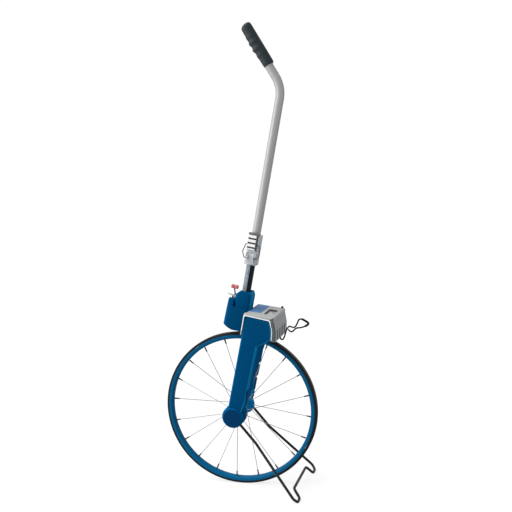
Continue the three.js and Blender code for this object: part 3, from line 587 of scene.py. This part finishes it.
# ---------- near leg ----------
BOSS_RADIUS, LEG_REAR, LEG_FRONT = 28.0, -16.5, 25.2
FACE_AT_HUB, FACE_AT_HEAD, HEAD_TOP, LEG_INNER_Y = -90.0, -74.0, 256.5, -53.0
LEG_WALL, LEG_EDGE_RADIUS = 3.0, 6.0


def face_y(w):
    """The outer face leans in towards the head."""
    return FACE_AT_HUB + (FACE_AT_HEAD - FACE_AT_HUB) * clamped(w / HEAD_TOP)


def leg_outline(inset, flare):
    """The near leg's outline, shrunk by inset; flare widens its front edge towards the head."""
    r, rear = BOSS_RADIUS - inset, LEG_REAR + inset

    def front(w):
        lean = 1.2 * clamped((w - 105) / 85)
        return LEG_FRONT + lean + flare * clamped((w - 60) / 130) - inset

    # the boss is an arc that starts where it leaves the rear edge
    start = 180 - math.degrees(math.asin(math.sqrt(r * r - rear * rear) / r))
    head = HEAD_TOP - inset
    return (arc(0, 0, r, start, 405, 40)
            + [(front(w), w) for w in (45, 65, 85, 105, 125, 145, 165, 180, 188)]
            + [(46 - inset, 199 + inset), (58 - inset, 212 + inset * 0.6), (57 - inset, 222),
               (55.5 - inset, 233), (53.2 - inset, 240), (50.5 - inset, 246)]
            + arc(42 - inset, head - 6, 6, 25, 90, 8)
            + arc(rear + 5, head - 5, 5, 90, 180, 8)
            + [(rear, w) for w in (220, 190, 160, 130, 105, 80, 55)])


def leg_section(inset, flare, depth=None, y=None):
    """The outline at a depth behind the leaning face, or flat at y."""
    return [(u, face_y(w) + depth if y is None else y, w) for u, w in leg_outline(inset, flare)]


def fillet(radius, steps=5):
    """(inset, depth) steps round the edge of a face, from the face outwards."""
    turn = [math.pi / 2 * i / steps for i in range(steps + 1)]
    return [(radius * (1 - math.sin(a)), radius * (1 - math.cos(a))) for a in turn]


def paint_leg(shell):
    """Lighter blues where the light catches the leg's edges."""
    stripe_depth = LEG_EDGE_RADIUS + 0.9
    boss_edge, boss_side = (BOSS_RADIUS - 4.5) * MM, (BOSS_RADIUS + 0.5) * MM

    def depth_of(centre):
        place = TO_FORK @ centre
        return place.y / MM - face_y(place.z / MM)

    def on_boss_edge(centre, normal):
        return boss_edge < reach_from_axle(centre) < boss_side and normal.y < 0.9 and centre.z < 0.235

    # painted highlights and painted light: lit copies of the blue on the leg's edges, sides, top and
    # boss
    paint(shell, BLUE_PAINTED_HALF_LIGHT, lambda centre, normal: normal.dot(FORWARD) > 0.35 and centre.y < -0.055)
    paint(shell, BLUE_PAINTED_HALF_LIGHT, lambda centre, normal: normal.dot(FORWARD) < -0.3)
    paint(shell, BLUE_PALE_AND_PAINTED_HIGHLIGHT, lambda centre, normal: normal.dot(FORWARD) > 0.3
          and depth_of(centre) < stripe_depth)
    paint(shell, BLUE_PAINTED_HALF_LIGHT, lambda centre, normal: normal.dot(UPWARD) > 0.25 and centre.z > 0.44)
    paint(shell, BLUE_PAINTED_HALF_LIGHT, on_boss_edge)


def make_near_leg():
    """Hollow shell with a seat for the cap and a slot that the stand's near rod swings in."""
    outside = [leg_section(inset, 0.3 * depth, depth) for inset, depth in fillet(LEG_EDGE_RADIUS, 8)]
    outside.append(leg_section(0, 2.6, LEG_EDGE_RADIUS + 1))
    outside.append(leg_section(0, 14, y=LEG_INNER_Y))
    shell = mesh_object("leg_shell", *loft(outside), FORK, BLUE)
    hollow = loft([leg_section(LEG_WALL, 0, LEG_WALL),
                   leg_section(LEG_WALL, 10, y=LEG_INNER_Y + 5)])
    swing = [(0, 0)] + arc(0, 0, 125, -50.28, 72.72, 14)
    slot = loft([[(u, y, w) for u, w in swing] for y in (-84.4, -75.6)])
    seat = lathe([(0, -95), (22, -95), (22, -80), (0, -80)], 64)
    cut(shell, hollow, slot, seat)
    paint_leg(shell)
    finish_piece(shell, "fork_assembly", ("near_leg_housing",), angle=38)
    softened("near_leg_cover", "leg_cover", BLUE, "fork_assembly", 0.5)

    face_radius = 22.2
    cap = [(0, -95), (21.2, -95), (21.9, -94.6), (face_radius, -93.6), (23.4, -93.1),
           (24.4, -92.4), (24.9, -91.4), (24.5, -90.3), (0, -90.3)]
    disc = mesh_object("hub_cap_near", *lathe(cap, 72), FORK, NAVY)
    # the ring round the cap gets the half-lit blue, as painted light
    paint(disc, BLUE_PAINTED_HALF_LIGHT, lambda centre, normal: reach_from_axle(centre) > face_radius * MM)
    finish_piece(disc, "fork_assembly", ("near_hub_cap",), angle=20)


# ---------- far leg ----------
# the far leg is lighter within this distance of the axle
FAR_LIGHT_REACH = 24.0
RIDGE_BACK, RIDGE_SIDES = 12.6, (41.7, 51.3)
# each block's ((w, u) at its low end, (w, u) at its high end)
RIDGE_BLOCKS = (((20, 17), (35, 17)), ((41.5, 17), (72, 17.6)), ((79.5, 18), (108.5, 19.4)),
                ((116.5, 19.2), (146, 19.6)), ((153.5, 20.8), (196, 24)))


def make_far_leg():
    """Thin leg with a notched ridge along its front edge."""
    leg = softened("far_leg", "leg_far", BLUE, "fork_assembly", 0.7)
    reach = FAR_LIGHT_REACH * MM
    paint(leg, BLUE_PALE_AND_PAINTED_HIGHLIGHT, lambda centre, normal: reach_from_axle(centre) < reach and normal.y < 0.5)
    blocks = []
    for (low, u_low), (high, u_high) in RIDGE_BLOCKS:
        side = [(RIDGE_BACK, low), (u_low, low), (u_high, high), (RIDGE_BACK, high)]
        blocks.append(loft([[(u, y, w) for u, w in side] for y in RIDGE_SIDES]))
    ridge = bevel(mesh_object("leg_far_ridge", *joined(*blocks), FORK, BLUE), 0.7)
    finish_piece(ridge, "fork_assembly", angle=40)
    cap = [(0, 69.4), (12.6, 69.4), (13, 70), (13, 72.6), (12.4, 74.4), (10.6, 76.6), (8.2, 78.2),
           (5, 78.8), (0, 79)]
    make_piece("hub_cap_far", lathe(cap, 48), NAVY, "fork_assembly", ("far_hub_cap",),
               angle=30)
    softened("axle_nut", "axle_nut_head", STEEL, "fork_assembly", 0.4)
    repaint(STEEL, "axle")
    repaint(BELT, "drive_belt")


# ---------- counter ----------
BOX_NEAR, BOX_FAR, BOX_WALL, BOX_BOTTOM, COVER_SPLIT = -75.5, 60.5, 3.2, 208.0, 255.0
BOX_TOP, BOX_TOP_FRONT = 263.6, 267.1
REAR_LIP = 2.5
# (u0, u1, y0, y1) of the window's recess
WINDOW = (24.5, 46.5, -48.0, 17.0)
WINDOW_FLOOR = 264.4
BUTTON_U, BUTTON_Y, BUTTON_RADIUS, BUTTON_TOP = 49.0, 53.0, 3.2, 272.5
SLOT_COUNT, SLOT_START, SLOT_PITCH, SLOT_WIDTH = 4, -58, 27, 11


def top_at(u):
    """Height of the box's top, which climbs forwards."""
    return BOX_TOP + (u + 13) * (BOX_TOP_FRONT - BOX_TOP) / 66.6


def box_outline(inset, lip=0.0):
    """The box's side outline, shrunk by inset; lip moves its rear edge back."""
    return ([(70 - inset, BOX_BOTTOM), (68.4 - inset, 221), (66.2 - inset, 235),
             (61.6 - inset, 247.3), (57 - inset, 259.5)]
            + arc(53.4 - inset, BOX_TOP_FRONT - 3.8 - inset, 3.8, 30, 87, 6)
            + arc(-13 + inset - lip, BOX_TOP - 5 - inset, 5, 90, 180, 8)
            + [(-18 + inset - lip, BOX_BOTTOM)])


def box_section(inset, y, lip=0.0):
    return [(u, y, w) for u, w in box_outline(inset, lip)]


def box_skin():
    """Outside of the whole box, with a lip at the rear of its near side."""
    sections = [box_section(inset, BOX_NEAR + depth, REAR_LIP) for inset, depth in fillet(3.5)]
    sections += [box_section(0, BOX_NEAR + 12, REAR_LIP), box_section(0, BOX_NEAR + 14)]
    sections += [box_section(inset, BOX_FAR - depth) for inset, depth in reversed(fillet(3.0))]
    return loft(sections)


def box_hollow():
    """Inside of the box, open at the bottom."""
    side = [(u, w - 5 if w == BOX_BOTTOM else w) for u, w in box_outline(BOX_WALL)]
    return loft([[(u, y, w) for u, w in side] for y in (BOX_NEAR + BOX_WALL, BOX_FAR - BOX_WALL)])


def head_cutter():
    """Room for the near leg's head in the box's near side."""
    ends = ((leg_outline(-0.5, 0), -90), (leg_outline(-0.5, 10), LEG_INNER_Y + 1))
    return loft([[(u, y, w) for u, w in outline] for outline, y in ends])


def slab(low, high):
    """Cutter for everything of the box between two heights."""
    return box_mesh(-40, 90, -100, 80, low, high)


def make_housing():
    housing = mesh_object("box_body", *box_skin(), FORK, BOX)
    crown_room = box_mesh(-19, -14, -20.3, 20.3, 200, 212.3)
    cutters = [box_hollow(), slab(COVER_SPLIT, 290), head_cutter(), crown_room]
    starts = [SLOT_START + SLOT_PITCH * i for i in range(SLOT_COUNT)]
    slot = [(67.6, 211), (90, 211), (90, 235), (64.3, 235), (66.5, 221)]
    for start in starts:
        cutters.append(loft([[(u, y, w) for u, w in slot] for y in (start, start + SLOT_WIDTH)]))
    cut(housing, *cutters)
    # painted shade on the faces of the box's near side
    paint(housing, BOX_PAINTED_SHADE, lambda centre, normal: normal.y < -0.2 and normal.dot(FORWARD) > -0.3)
    finish_piece(housing, "fork_assembly", ("counter_housing",), angle=30)

    # painted shade: dark backs that show through the slots
    backs = [box_mesh(61.5, 62.1, start - 2, start + SLOT_WIDTH + 3, 209, 235.5) for start in starts]
    make_piece("slot_backs", joined(*backs), SHADE, "fork_assembly", angle=0)


def make_cover():
    u0, u1, y0, y1 = WINDOW
    cover = mesh_object("box_cover", *box_skin(), FORK, COVER)
    button = arc(BUTTON_U, BUTTON_Y, BUTTON_RADIUS + 0.4, 0, 345, 23)
    hole = loft([[(u, y, w) for u, y in button] for w in (200, 300)])
    window = round_rect(u0, u1, y0, y1, 1.5, 4)
    recess = loft([[(u, y, w) for u, y in window] for w in (WINDOW_FLOOR, 300)])
    opening = box_mesh(u0 + 2, u1 - 2, y0 + 2, y1 - 2, 200, 300)
    cut(cover, box_hollow(), slab(150, COVER_SPLIT + 0.3), head_cutter(), opening, recess, hole)
    # painted shade on the near side of the cover's front
    paint(cover, BOX_PAINTED_SHADE, lambda centre, normal: normal.y < -0.55 and (TO_FORK @ centre).x > 0.047)
    paint(cover, BOX, lambda centre, normal: normal.dot(FORWARD) > 0.6)
    finish_piece(cover, "fork_assembly", ("counter_cover",), angle=30)


def window_ring(inset):
    """Rectangle of points round the window."""
    u0, u1, y0, y1 = WINDOW
    radius = max(1.5 - inset * 0.4, 0.4)
    return round_rect(u0 + inset, u1 - inset, y0 + inset, y1 - inset, radius, 4)


def make_window():
    """Liner of painted shade round the recess, clear pane, and the plate in front of the digits."""
    floor = WINDOW_FLOOR

    def flat(inset, w):
        return [(u, y, w) for u, y in window_ring(inset)]

    def sloping(inset):
        return [(u, y, top_at(u) - 0.2) for u, y in window_ring(inset)]

    rings = [flat(0.1, floor + 0.05), sloping(0.1), sloping(0.6), flat(0.6, floor + 0.4),
             flat(2.3, floor + 0.4), flat(2.3, floor - 2.6), flat(2.05, floor - 2.6),
             flat(2.05, floor + 0.05)]
    make_piece("window_liner", loft(rings, closed=True), SHADE, "fork_assembly")

    u0, u1, y0, y1 = WINDOW
    pane = round_rect(u0 + 2.5, u1 - 2.5, y0 + 2.5, y1 - 2.5, 0.4, 3)
    shape = loft([[(u, y, w) for u, y in pane] for w in (floor - 1.5, floor - 0.3)])
    make_piece("window_pane", shape, GLASS, "fork_assembly", ("window_lens",))
    plate = box_mesh(u0 + 12.5, u1 - 2.5, y0 + 2.5, y1 - 2.5, floor - 3.2, floor - 2.6)
    panel = bevel(mesh_object("reading_plate", *plate, FORK, PANEL), 0.2)
    finish_piece(panel, "fork_assembly")


def make_label_panel():
    """Thin blue panel that wraps from the top over the rear edge."""
    outer, inner, front = 0.22, 0.02, 16
    outside = arc(-13, BOX_TOP - 5, 5 + outer, 150, 90, 8) + [(front, top_at(front) + outer)]
    inside = [(front, top_at(front) + inner)] + arc(-13, BOX_TOP - 5, 5 + inner, 90, 150, 8)
    shape = loft([[(u, y, w) for u, w in outside + inside] for y in (-44, -43, 30, 51, 52)])
    make_piece("label_panel", shape, LABEL, "fork_assembly")


def make_head_trim():
    """Light grey bead round the near leg's head, made near white as a painted highlight, and a strip
    of painted shade in front of it on the box's side.
    """
    near, far = BOX_NEAR - 1.3, BOX_NEAR + 1.5
    sections = []
    for (a, b), (c, d) in zip(leg_outline(-0.7, 0), leg_outline(-2.5, 0)):
        if b > 206:
            sections.append([(a, far, b), (a, near + 0.5, b),
                             ((a * 3 + c) / 4, near, (b * 3 + d) / 4),
                             ((a + c * 3) / 4, near, (b + d * 3) / 4),
                             (c, near + 0.5, d), (c, far, d)])
    make_piece("head_trim_bead", loft(sections), TRIM_WITH_PAINTED_HIGHLIGHT, "fork_assembly")

    strip = [(u, w) for u, w in leg_outline(-2.7, 0) if u > 44 and w > 209]
    beside = [(u, w) for u, w in box_outline(BOX_WALL) if u > 44 and w > 207]
    side = strip + beside[::-1]
    shape = loft([[(u, y, w) for u, w in side] for y in (BOX_NEAR - 0.35, BOX_NEAR + 0.2)])
    make_piece("side_strip", shape, BOX_PAINTED_SHADE, "fork_assembly", angle=0)


def make_button():
    u, y, radius, top = BUTTON_U, BUTTON_Y, BUTTON_RADIUS, BUTTON_TOP
    dome = [(253, radius), (top - 1.3, radius), (top - 0.5, radius - 0.6), (top, radius - 1.8),
            (top, 0.01)]
    stem = loft([[(p, q, w) for p, q in arc(u, y, size, 0, 345, 23)] for w, size in dome])
    foot = box_mesh(u - 4.8, u + 3.2, y - 5, y + 3.7, 251, 253)
    make_piece("reset_cap", joined(stem, foot), DARK_RED, "reset_key",
               ("reset_button",))


def make_counter():
    make_housing()
    make_cover()
    make_window()
    make_label_panel()
    make_head_trim()
    make_button()
    softened("fork_crown", "crown_bridge", BLUE, "fork_assembly", 0.6)
    repaint(STEEL, "counter_shaft")


# ---------- digits ----------
DRUM_BODIES = {"drum_tenths": "tenths_wheel", "drum_units": "units_wheel",
               "drum_tens": "tens_wheel", "drum_hundreds": "hundreds_wheel"}
DRUM_U, DRUM_W, DRUM_RADIUS = 25.5, 240.5, 20.0
DIGIT_SIZE, DIGIT_LIFT = 12, 0.06


def flat_digit(digit):
    """Mesh of one printed digit, lying flat round its own middle."""
    text = bpy.data.curves.new("digit", "FONT")
    text.body = str(digit)
    text.size = DIGIT_SIZE
    text.align_x = "CENTER"
    text.align_y = "CENTER"
    text.resolution_u = 3
    holder = link(bpy.data.objects.new("digit", text))
    graph = bpy.context.evaluated_depsgraph_get()
    mesh = bpy.data.meshes.new_from_object(holder.evaluated_get(graph))
    bpy.data.objects.remove(holder)
    return mesh


def make_digits():
    """Ten printed digits round each counter drum."""
    repaint(DRUM, *DRUM_BODIES)
    reach = DRUM_RADIUS + DIGIT_LIFT
    for node, body in DRUM_BODIES.items():
        low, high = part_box(node)
        middle = (low.y + high.y) / 2 / MM
        points, faces = [], []
        for digit in range(10):
            mesh = flat_digit(digit)
            start = len(points)
            for vertex in mesh.vertices:
                a = 2 * math.pi * digit / 10 - vertex.co.y / DRUM_RADIUS
                points.append((DRUM_U + reach * math.sin(a), middle + vertex.co.x,
                               DRUM_W + reach * math.cos(a)))
            faces += [tuple(start + i for i in face.vertices) for face in mesh.polygons]
            bpy.data.meshes.remove(mesh)
        make_piece(node + "_digits", (points, faces), INK, body)


# ---------- rear bracket and brake ----------
KNOB_PLACE = (-66, -20, 311.8)


def make_bracket():
    # painted light: half-lit blue all over, plain blue as painted shade on faces turned to the near
    # side, and painted highlight on sides turned to the lamps
    shroud = softened("bracket_shroud", "shroud", BLUE_PAINTED_HALF_LIGHT, "fork_assembly", 1.6, 4)
    paint(shroud, BLUE, lambda centre, normal: normal.y < -0.75)
    paint(shroud, BLUE_PALE_AND_PAINTED_HIGHLIGHT, lambda centre, normal: normal.x < -0.5 and normal.y > -0.75)
    socket = softened("mast_socket", "socket", BLUE_PAINTED_HALF_LIGHT, "fork_assembly", 1.4, 4)
    paint(socket, BLUE_PALE_AND_PAINTED_HIGHLIGHT, lambda centre, normal: normal.x > 0.6)
    paint(socket, BLUE, lambda centre, normal: normal.y < -0.75)


def make_brake():
    """Bent lever with its knob, the brake shoe, and the release catch."""
    softened("brake_shoe", "shoe_pad", BELT, "brake_block", 0.5)
    stem = rounded_path([(-67, 0, 247), (-67, 0, 288), (-66, -14, 299), (-66, -20, 305.8)], 8, 8, 6)
    eye = lathe(mirrored([(0, -5), (3.7, -5), (4, -4.6)]), 32, -67, 252)
    make_piece("brake_stem", joined(rod(stem, 2.0, 16), eye), STEEL, "brake_arm",
               ("brake_lever",))
    half = [(0, -9), (3.9, -9), (4.6, -8.6), (5, -7.8), (5, -2.6), (4.75, -2.2)]
    points, faces = lathe(mirrored(half), 40)
    u, across, w = KNOB_PLACE
    upright = [(u + y, across + x, w + z) for x, y, z in points]
    make_piece("brake_grip_knob", (upright, faces), RED, "brake_arm", ("brake_knob",))
    softened("release_lever", "release_tab", STEEL, "release_catch", 0.5)


# ---------- mast ----------
BEND_W, BEND_ANGLE, BEND_RADIUS = 818.0, math.radians(42), 78.0
GRIP_START, GRIP_END, TUBE_END = 61.0, 178.0, 163.0
# side of the lower tube that takes the painted reflection, and how far out it starts
REFLECTION_SIDE, REFLECTION_START = Vector((-0.72, -0.69, 0)), 6.2
# the y at which the upper sleeve ends, behind the plate that stands for its ribs
SLEEVE_FRONT = -16.8


def along_handle(distance, off=0.0, y=0.0):
    """Point on the handle's straight end, off above its centre line and y across."""
    return Vector((MAST_U - distance * math.sin(BEND_ANGLE) + off * math.cos(BEND_ANGLE), y,
                   BEND_W + distance * math.cos(BEND_ANGLE) + off * math.sin(BEND_ANGLE)))


def mast_line(start):
    """Centre line of the upper tube: straight up, round the bend and into the grip."""
    reach = BEND_RADIUS * math.tan(BEND_ANGLE / 2)
    centre_u, centre_w = MAST_U - BEND_RADIUS, BEND_W - reach
    line = [(MAST_U, 0, start + (centre_w - start) * i / 24) for i in range(25)]
    for i in range(1, 25):
        a = BEND_ANGLE * i / 24
        line.append((centre_u + BEND_RADIUS * math.cos(a), 0, centre_w + BEND_RADIUS * math.sin(a)))
    for i in range(1, 9):
        line.append(tuple(along_handle(reach + (TUBE_END - reach) * i / 8)))
    return line


def mast_tube(line, sides=48):
    """Open-ended tube: the outer skin, back along the bore, and closed on itself."""
    outside, _ = rod(line, MAST_RADIUS, sides)
    inside, _ = rod(line, MAST_RADIUS - MAST_WALL, sides)
    rings = [outside[i:i + sides] for i in range(0, len(outside), sides)]
    bores = [inside[i:i + sides] for i in range(0, len(inside), sides)]
    return loft(rings + bores[::-1], closed=True)


def make_lower_tube():
    """Gloss black tube with a speckled painted reflection down one side."""
    line = [(MAST_U, 0, w) for w in range(236, 401, 4)]
    tube = mesh_object("tube_lower", *mast_tube(line), FORK, BLACK_TUBE)
    centre = FORK @ Vector((MAST_U * MM, 0, 0.32))
    facing = REFLECTION_SIDE.normalized()
    outward = facing - UPWARD * facing.dot(UPWARD)
    paint(tube, TUBE_PAINTED_REFLECTION, lambda middle, normal: (middle - centre).dot(outward) > REFLECTION_START * MM)
    finish_piece(tube, "fork_assembly", ("mast_lower_tube",))


def make_sleeves():
    softened("lower_sleeve", "sleeve_lower", CAST, "fork_assembly", 0.7)
    upper = softened("upper_sleeve", "sleeve_upper", CAST, "upper_mast", 0.6)
    # the ribs copied from the CAD stay behind the grooved plate
    for vertex in upper.data.vertices:
        vertex.co.y = max(vertex.co.y, SLEEVE_FRONT * MM)
    softened("fold_pin", "hinge_pin", STEEL, "fork_assembly", 0.3)


def make_ladder():
    """Bright grooved plate on the upper sleeve, its grey top bar, and painted shade in its grooves
    and in the gap beside it.
    """
    front, floor, back = -20.4, -17.6, -15.2
    low, high = 411.2, 448.2
    middles = [416.8 + 11.3 * i for i in range(3)]
    side = [(front + 0.6, low), (front, low + 0.6)]
    for w in middles:
        side += [(front, w - 2.4), (front + 1.0, w - 1.7), (floor, w - 1.3),
                 (floor, w + 1.3), (front + 1.0, w + 1.7), (front, w + 2.4)]
    side += [(front, high - 0.6), (front + 0.6, high), (back, high), (back, low)]
    plate = loft([[(u, y, w) for y, w in side] for u in (-53.4, -33.2)])
    make_piece("latch_ladder", plate, LADDER, "upper_mast", angle=30)
    gaps = [box_mesh(-53.2, -33.4, front + 0.3, floor, w - 1.5, w + 1.5) for w in middles]
    gaps += [box_mesh(-36.0, -33.0, front - 0.3, floor, w - 0.6, w + 2.2) for w in middles]
    gaps.append(box_mesh(-31.4, -28.9, -18.4, -12, 411, 448.3))
    make_piece("latch_gaps", joined(*gaps), GAP_SHADE, "upper_mast", angle=0)
    bar = mesh_object("latch_top_bar", *box_mesh(-54.0, -26.8, front, -12.5, 449.2, 454.2), FORK,
                      BAR_GREY)
    finish_piece(bevel(bar, 0.9), "upper_mast", angle=40)


def make_bail():
    """Wire loop from the latch lever up across the front of the upper sleeve."""
    half = [(5, -24.2, 391), (16, -24.2, 391), (22, -23.4, 405), (17.5, -18.3, 424.6)]
    route = [(MAST_U - u, y, w) for u, y, w in half] + [(MAST_U + u, y, w) for u, y, w in half[::-1]]
    make_piece("bail_wire", rod(rounded_path(route, 3, 6, 4), 1.2, 12), DARK_WIRE, "latch_wire",
               ("latch_bail",))


def make_mast():
    make_lower_tube()
    make_piece("tube_upper", mast_tube(mast_line(412)), MAST, "upper_mast",
               ("mast_upper_tube",))
    make_sleeves()
    softened("latch_lever", "latch_plate", CAST, "latch_handle", 0.3)
    make_ladder()
    make_bail()


# ---------- grip ----------
GRIP_SIDES, GRIP_CLEARANCE = 64, 0.3
GRIP_ABOVE, GRIP_BELOW = 15.7, 12.6
# the end rounds off from here, to a point this far above the centre line
NOSE_START, GRIP_TIP = 165, 6.2
# (distance along the handle, height) of each finger ridge
FINGER_RIDGES = ((92, 1.4), (110, 3.2), (127.5, 2.9), (143.5, 1.3))


def grip_reach(distance):
    """How far the grip stands above and below the tube's centre line."""
    above = GRIP_ABOVE - 2.0 * math.exp(-(distance - GRIP_START) / 2.5)
    below = GRIP_BELOW - 1.2 * math.exp(-(distance - GRIP_START) / 3)
    for middle, height in FINGER_RIDGES:
        below += height * math.exp(-((distance - middle) / 5.2) ** 2)
    if distance > NOSE_START:
        t = (distance - NOSE_START) / (GRIP_END - NOSE_START)
        above = GRIP_TIP + (above - GRIP_TIP) * math.sqrt(max(1 - t ** 4, 0))
        below = -GRIP_TIP + (below + GRIP_TIP) * math.sqrt(max(1 - t ** 2.6, 0))
    return above, below


def grip_ring(distance, above, below):
    radius, middle = (above + below) / 2, (above - below) / 2
    turn = [2 * math.pi * k / GRIP_SIDES for k in range(GRIP_SIDES)]
    return [tuple(along_handle(distance, middle + radius * math.cos(a), radius * math.sin(a)))
            for a in turn]


def make_grip():
    """Closed skin with a blind bore for the tube."""
    distances = [GRIP_START + d for d in (0, 0.5, 1.2, 2.2, 3.5, 5)]
    distances += [GRIP_START + 7 + i * 1.5 for i in range(65)]
    distances += [167, 169, 171, 173, 174.5, 175.8, 176.8, 177.4, 177.8, 177.95]
    outside = [grip_ring(d, *grip_reach(d)) for d in sorted(distances)]
    tip = grip_ring(GRIP_END, GRIP_TIP + 0.05, -GRIP_TIP + 0.05)
    bore = MAST_RADIUS + GRIP_CLEARANCE
    mouth, bottom = grip_ring(GRIP_START, bore, bore), grip_ring(TUBE_END + 0.4, bore, bore)
    points, faces = loft([mouth] + outside + [tip])
    bore_points, bore_faces = loft([mouth, bottom])
    # the caps over the mouth go, so that the bore stays open
    faces.pop(-2)
    bore_faces.pop(-2)
    shape = joined((points, faces), (bore_points, bore_faces))
    make_piece("grip_sleeve", shape, GRIP, "upper_mast", ("handle_grip",), angle=60)


# ---------- stand and clip ----------
STAND_ANGLE = math.radians(-38.28)
STAND_NEAR, STAND_FAR, STAND_BEND = -80, 65, 87
# (distance from the axle, y) of the bends in each foot
STAND_FOOT = ((244, 125.5), (257.8, 117), (257.8, 90), (232, 79))
CLIP_STEP = 1.9
CLIP_RADIUS, CLIP_SLEEVE_RADIUS = 1.95, 2.9


def stand_point(s, y):
    """Point in the stand's plane, s out from the axle."""
    return (s * math.cos(STAND_ANGLE), y, s * math.sin(STAND_ANGLE))


def stand_collar(y):
    """Ring that turns on the axle."""
    half = 3.4
    return lathe([(4.3, y - half), (8.6, y - half), (9, y - 3), (9, y + 3), (8.6, y + half),
                  (4.3, y + half)], 40)


def make_stand():
    """One bent rod from collar to collar, with a hairpin foot on each side."""
    near_foot = [stand_point(s, -y) for s, y in STAND_FOOT]
    far_foot = [stand_point(s, y) for s, y in STAND_FOOT]
    corners = ([stand_point(7, STAND_NEAR), stand_point(STAND_BEND, STAND_NEAR)]
               + near_foot + far_foot[::-1]
               + [stand_point(STAND_BEND, STAND_FAR), stand_point(7, STAND_FAR)])
    bent = rod(rounded_path(corners, 12, 10, 14), 3.4, 20)
    make_piece("stand_rod", joined(bent, stand_collar(STAND_NEAR), stand_collar(STAND_FAR)), ROD,
               "stand_frame", ("stand",))


def make_clip():
    """Sprung wire twisted into an eye and a loop, with a sleeve round the loop's end."""
    step = CLIP_STEP
    route = spline([
        (63, 22, 200.5), (63, 14, 200.5), (70, 4, 199), (75, 0, 202), (77.5, 0, 211), (79.5, 0, 228),
        (84.5, step, 237), (92, step, 236.5), (99, step, 239), (103, step, 250), (105.5, 1, 259.5),
        (113, 0, 262.5), (122.5, 0, 260), (130.5, 0, 256), (127.5, 0, 249.5), (116, -1.6, 242),
        (103, -step, 237), (96, -step, 227.5), (89, -step, 226), (83.5, -step, 230)], 8)
    sleeved = [p for p in route if p.x > 112 and p.z > 246]
    shape = joined(rod(route, CLIP_RADIUS, 12), rod(sleeved, CLIP_SLEEVE_RADIUS, 16))
    make_piece("clip_wire", shape, CLIP_BLACK, "retaining_clip", ("stand_clip",))


make_camera()
make_world()
make_lights()
make_floor()
make_wheel()
make_near_leg()
make_far_leg()
make_counter()
make_digits()
make_bracket()
make_brake()
make_mast()
make_grip()
make_stand()
make_clip()
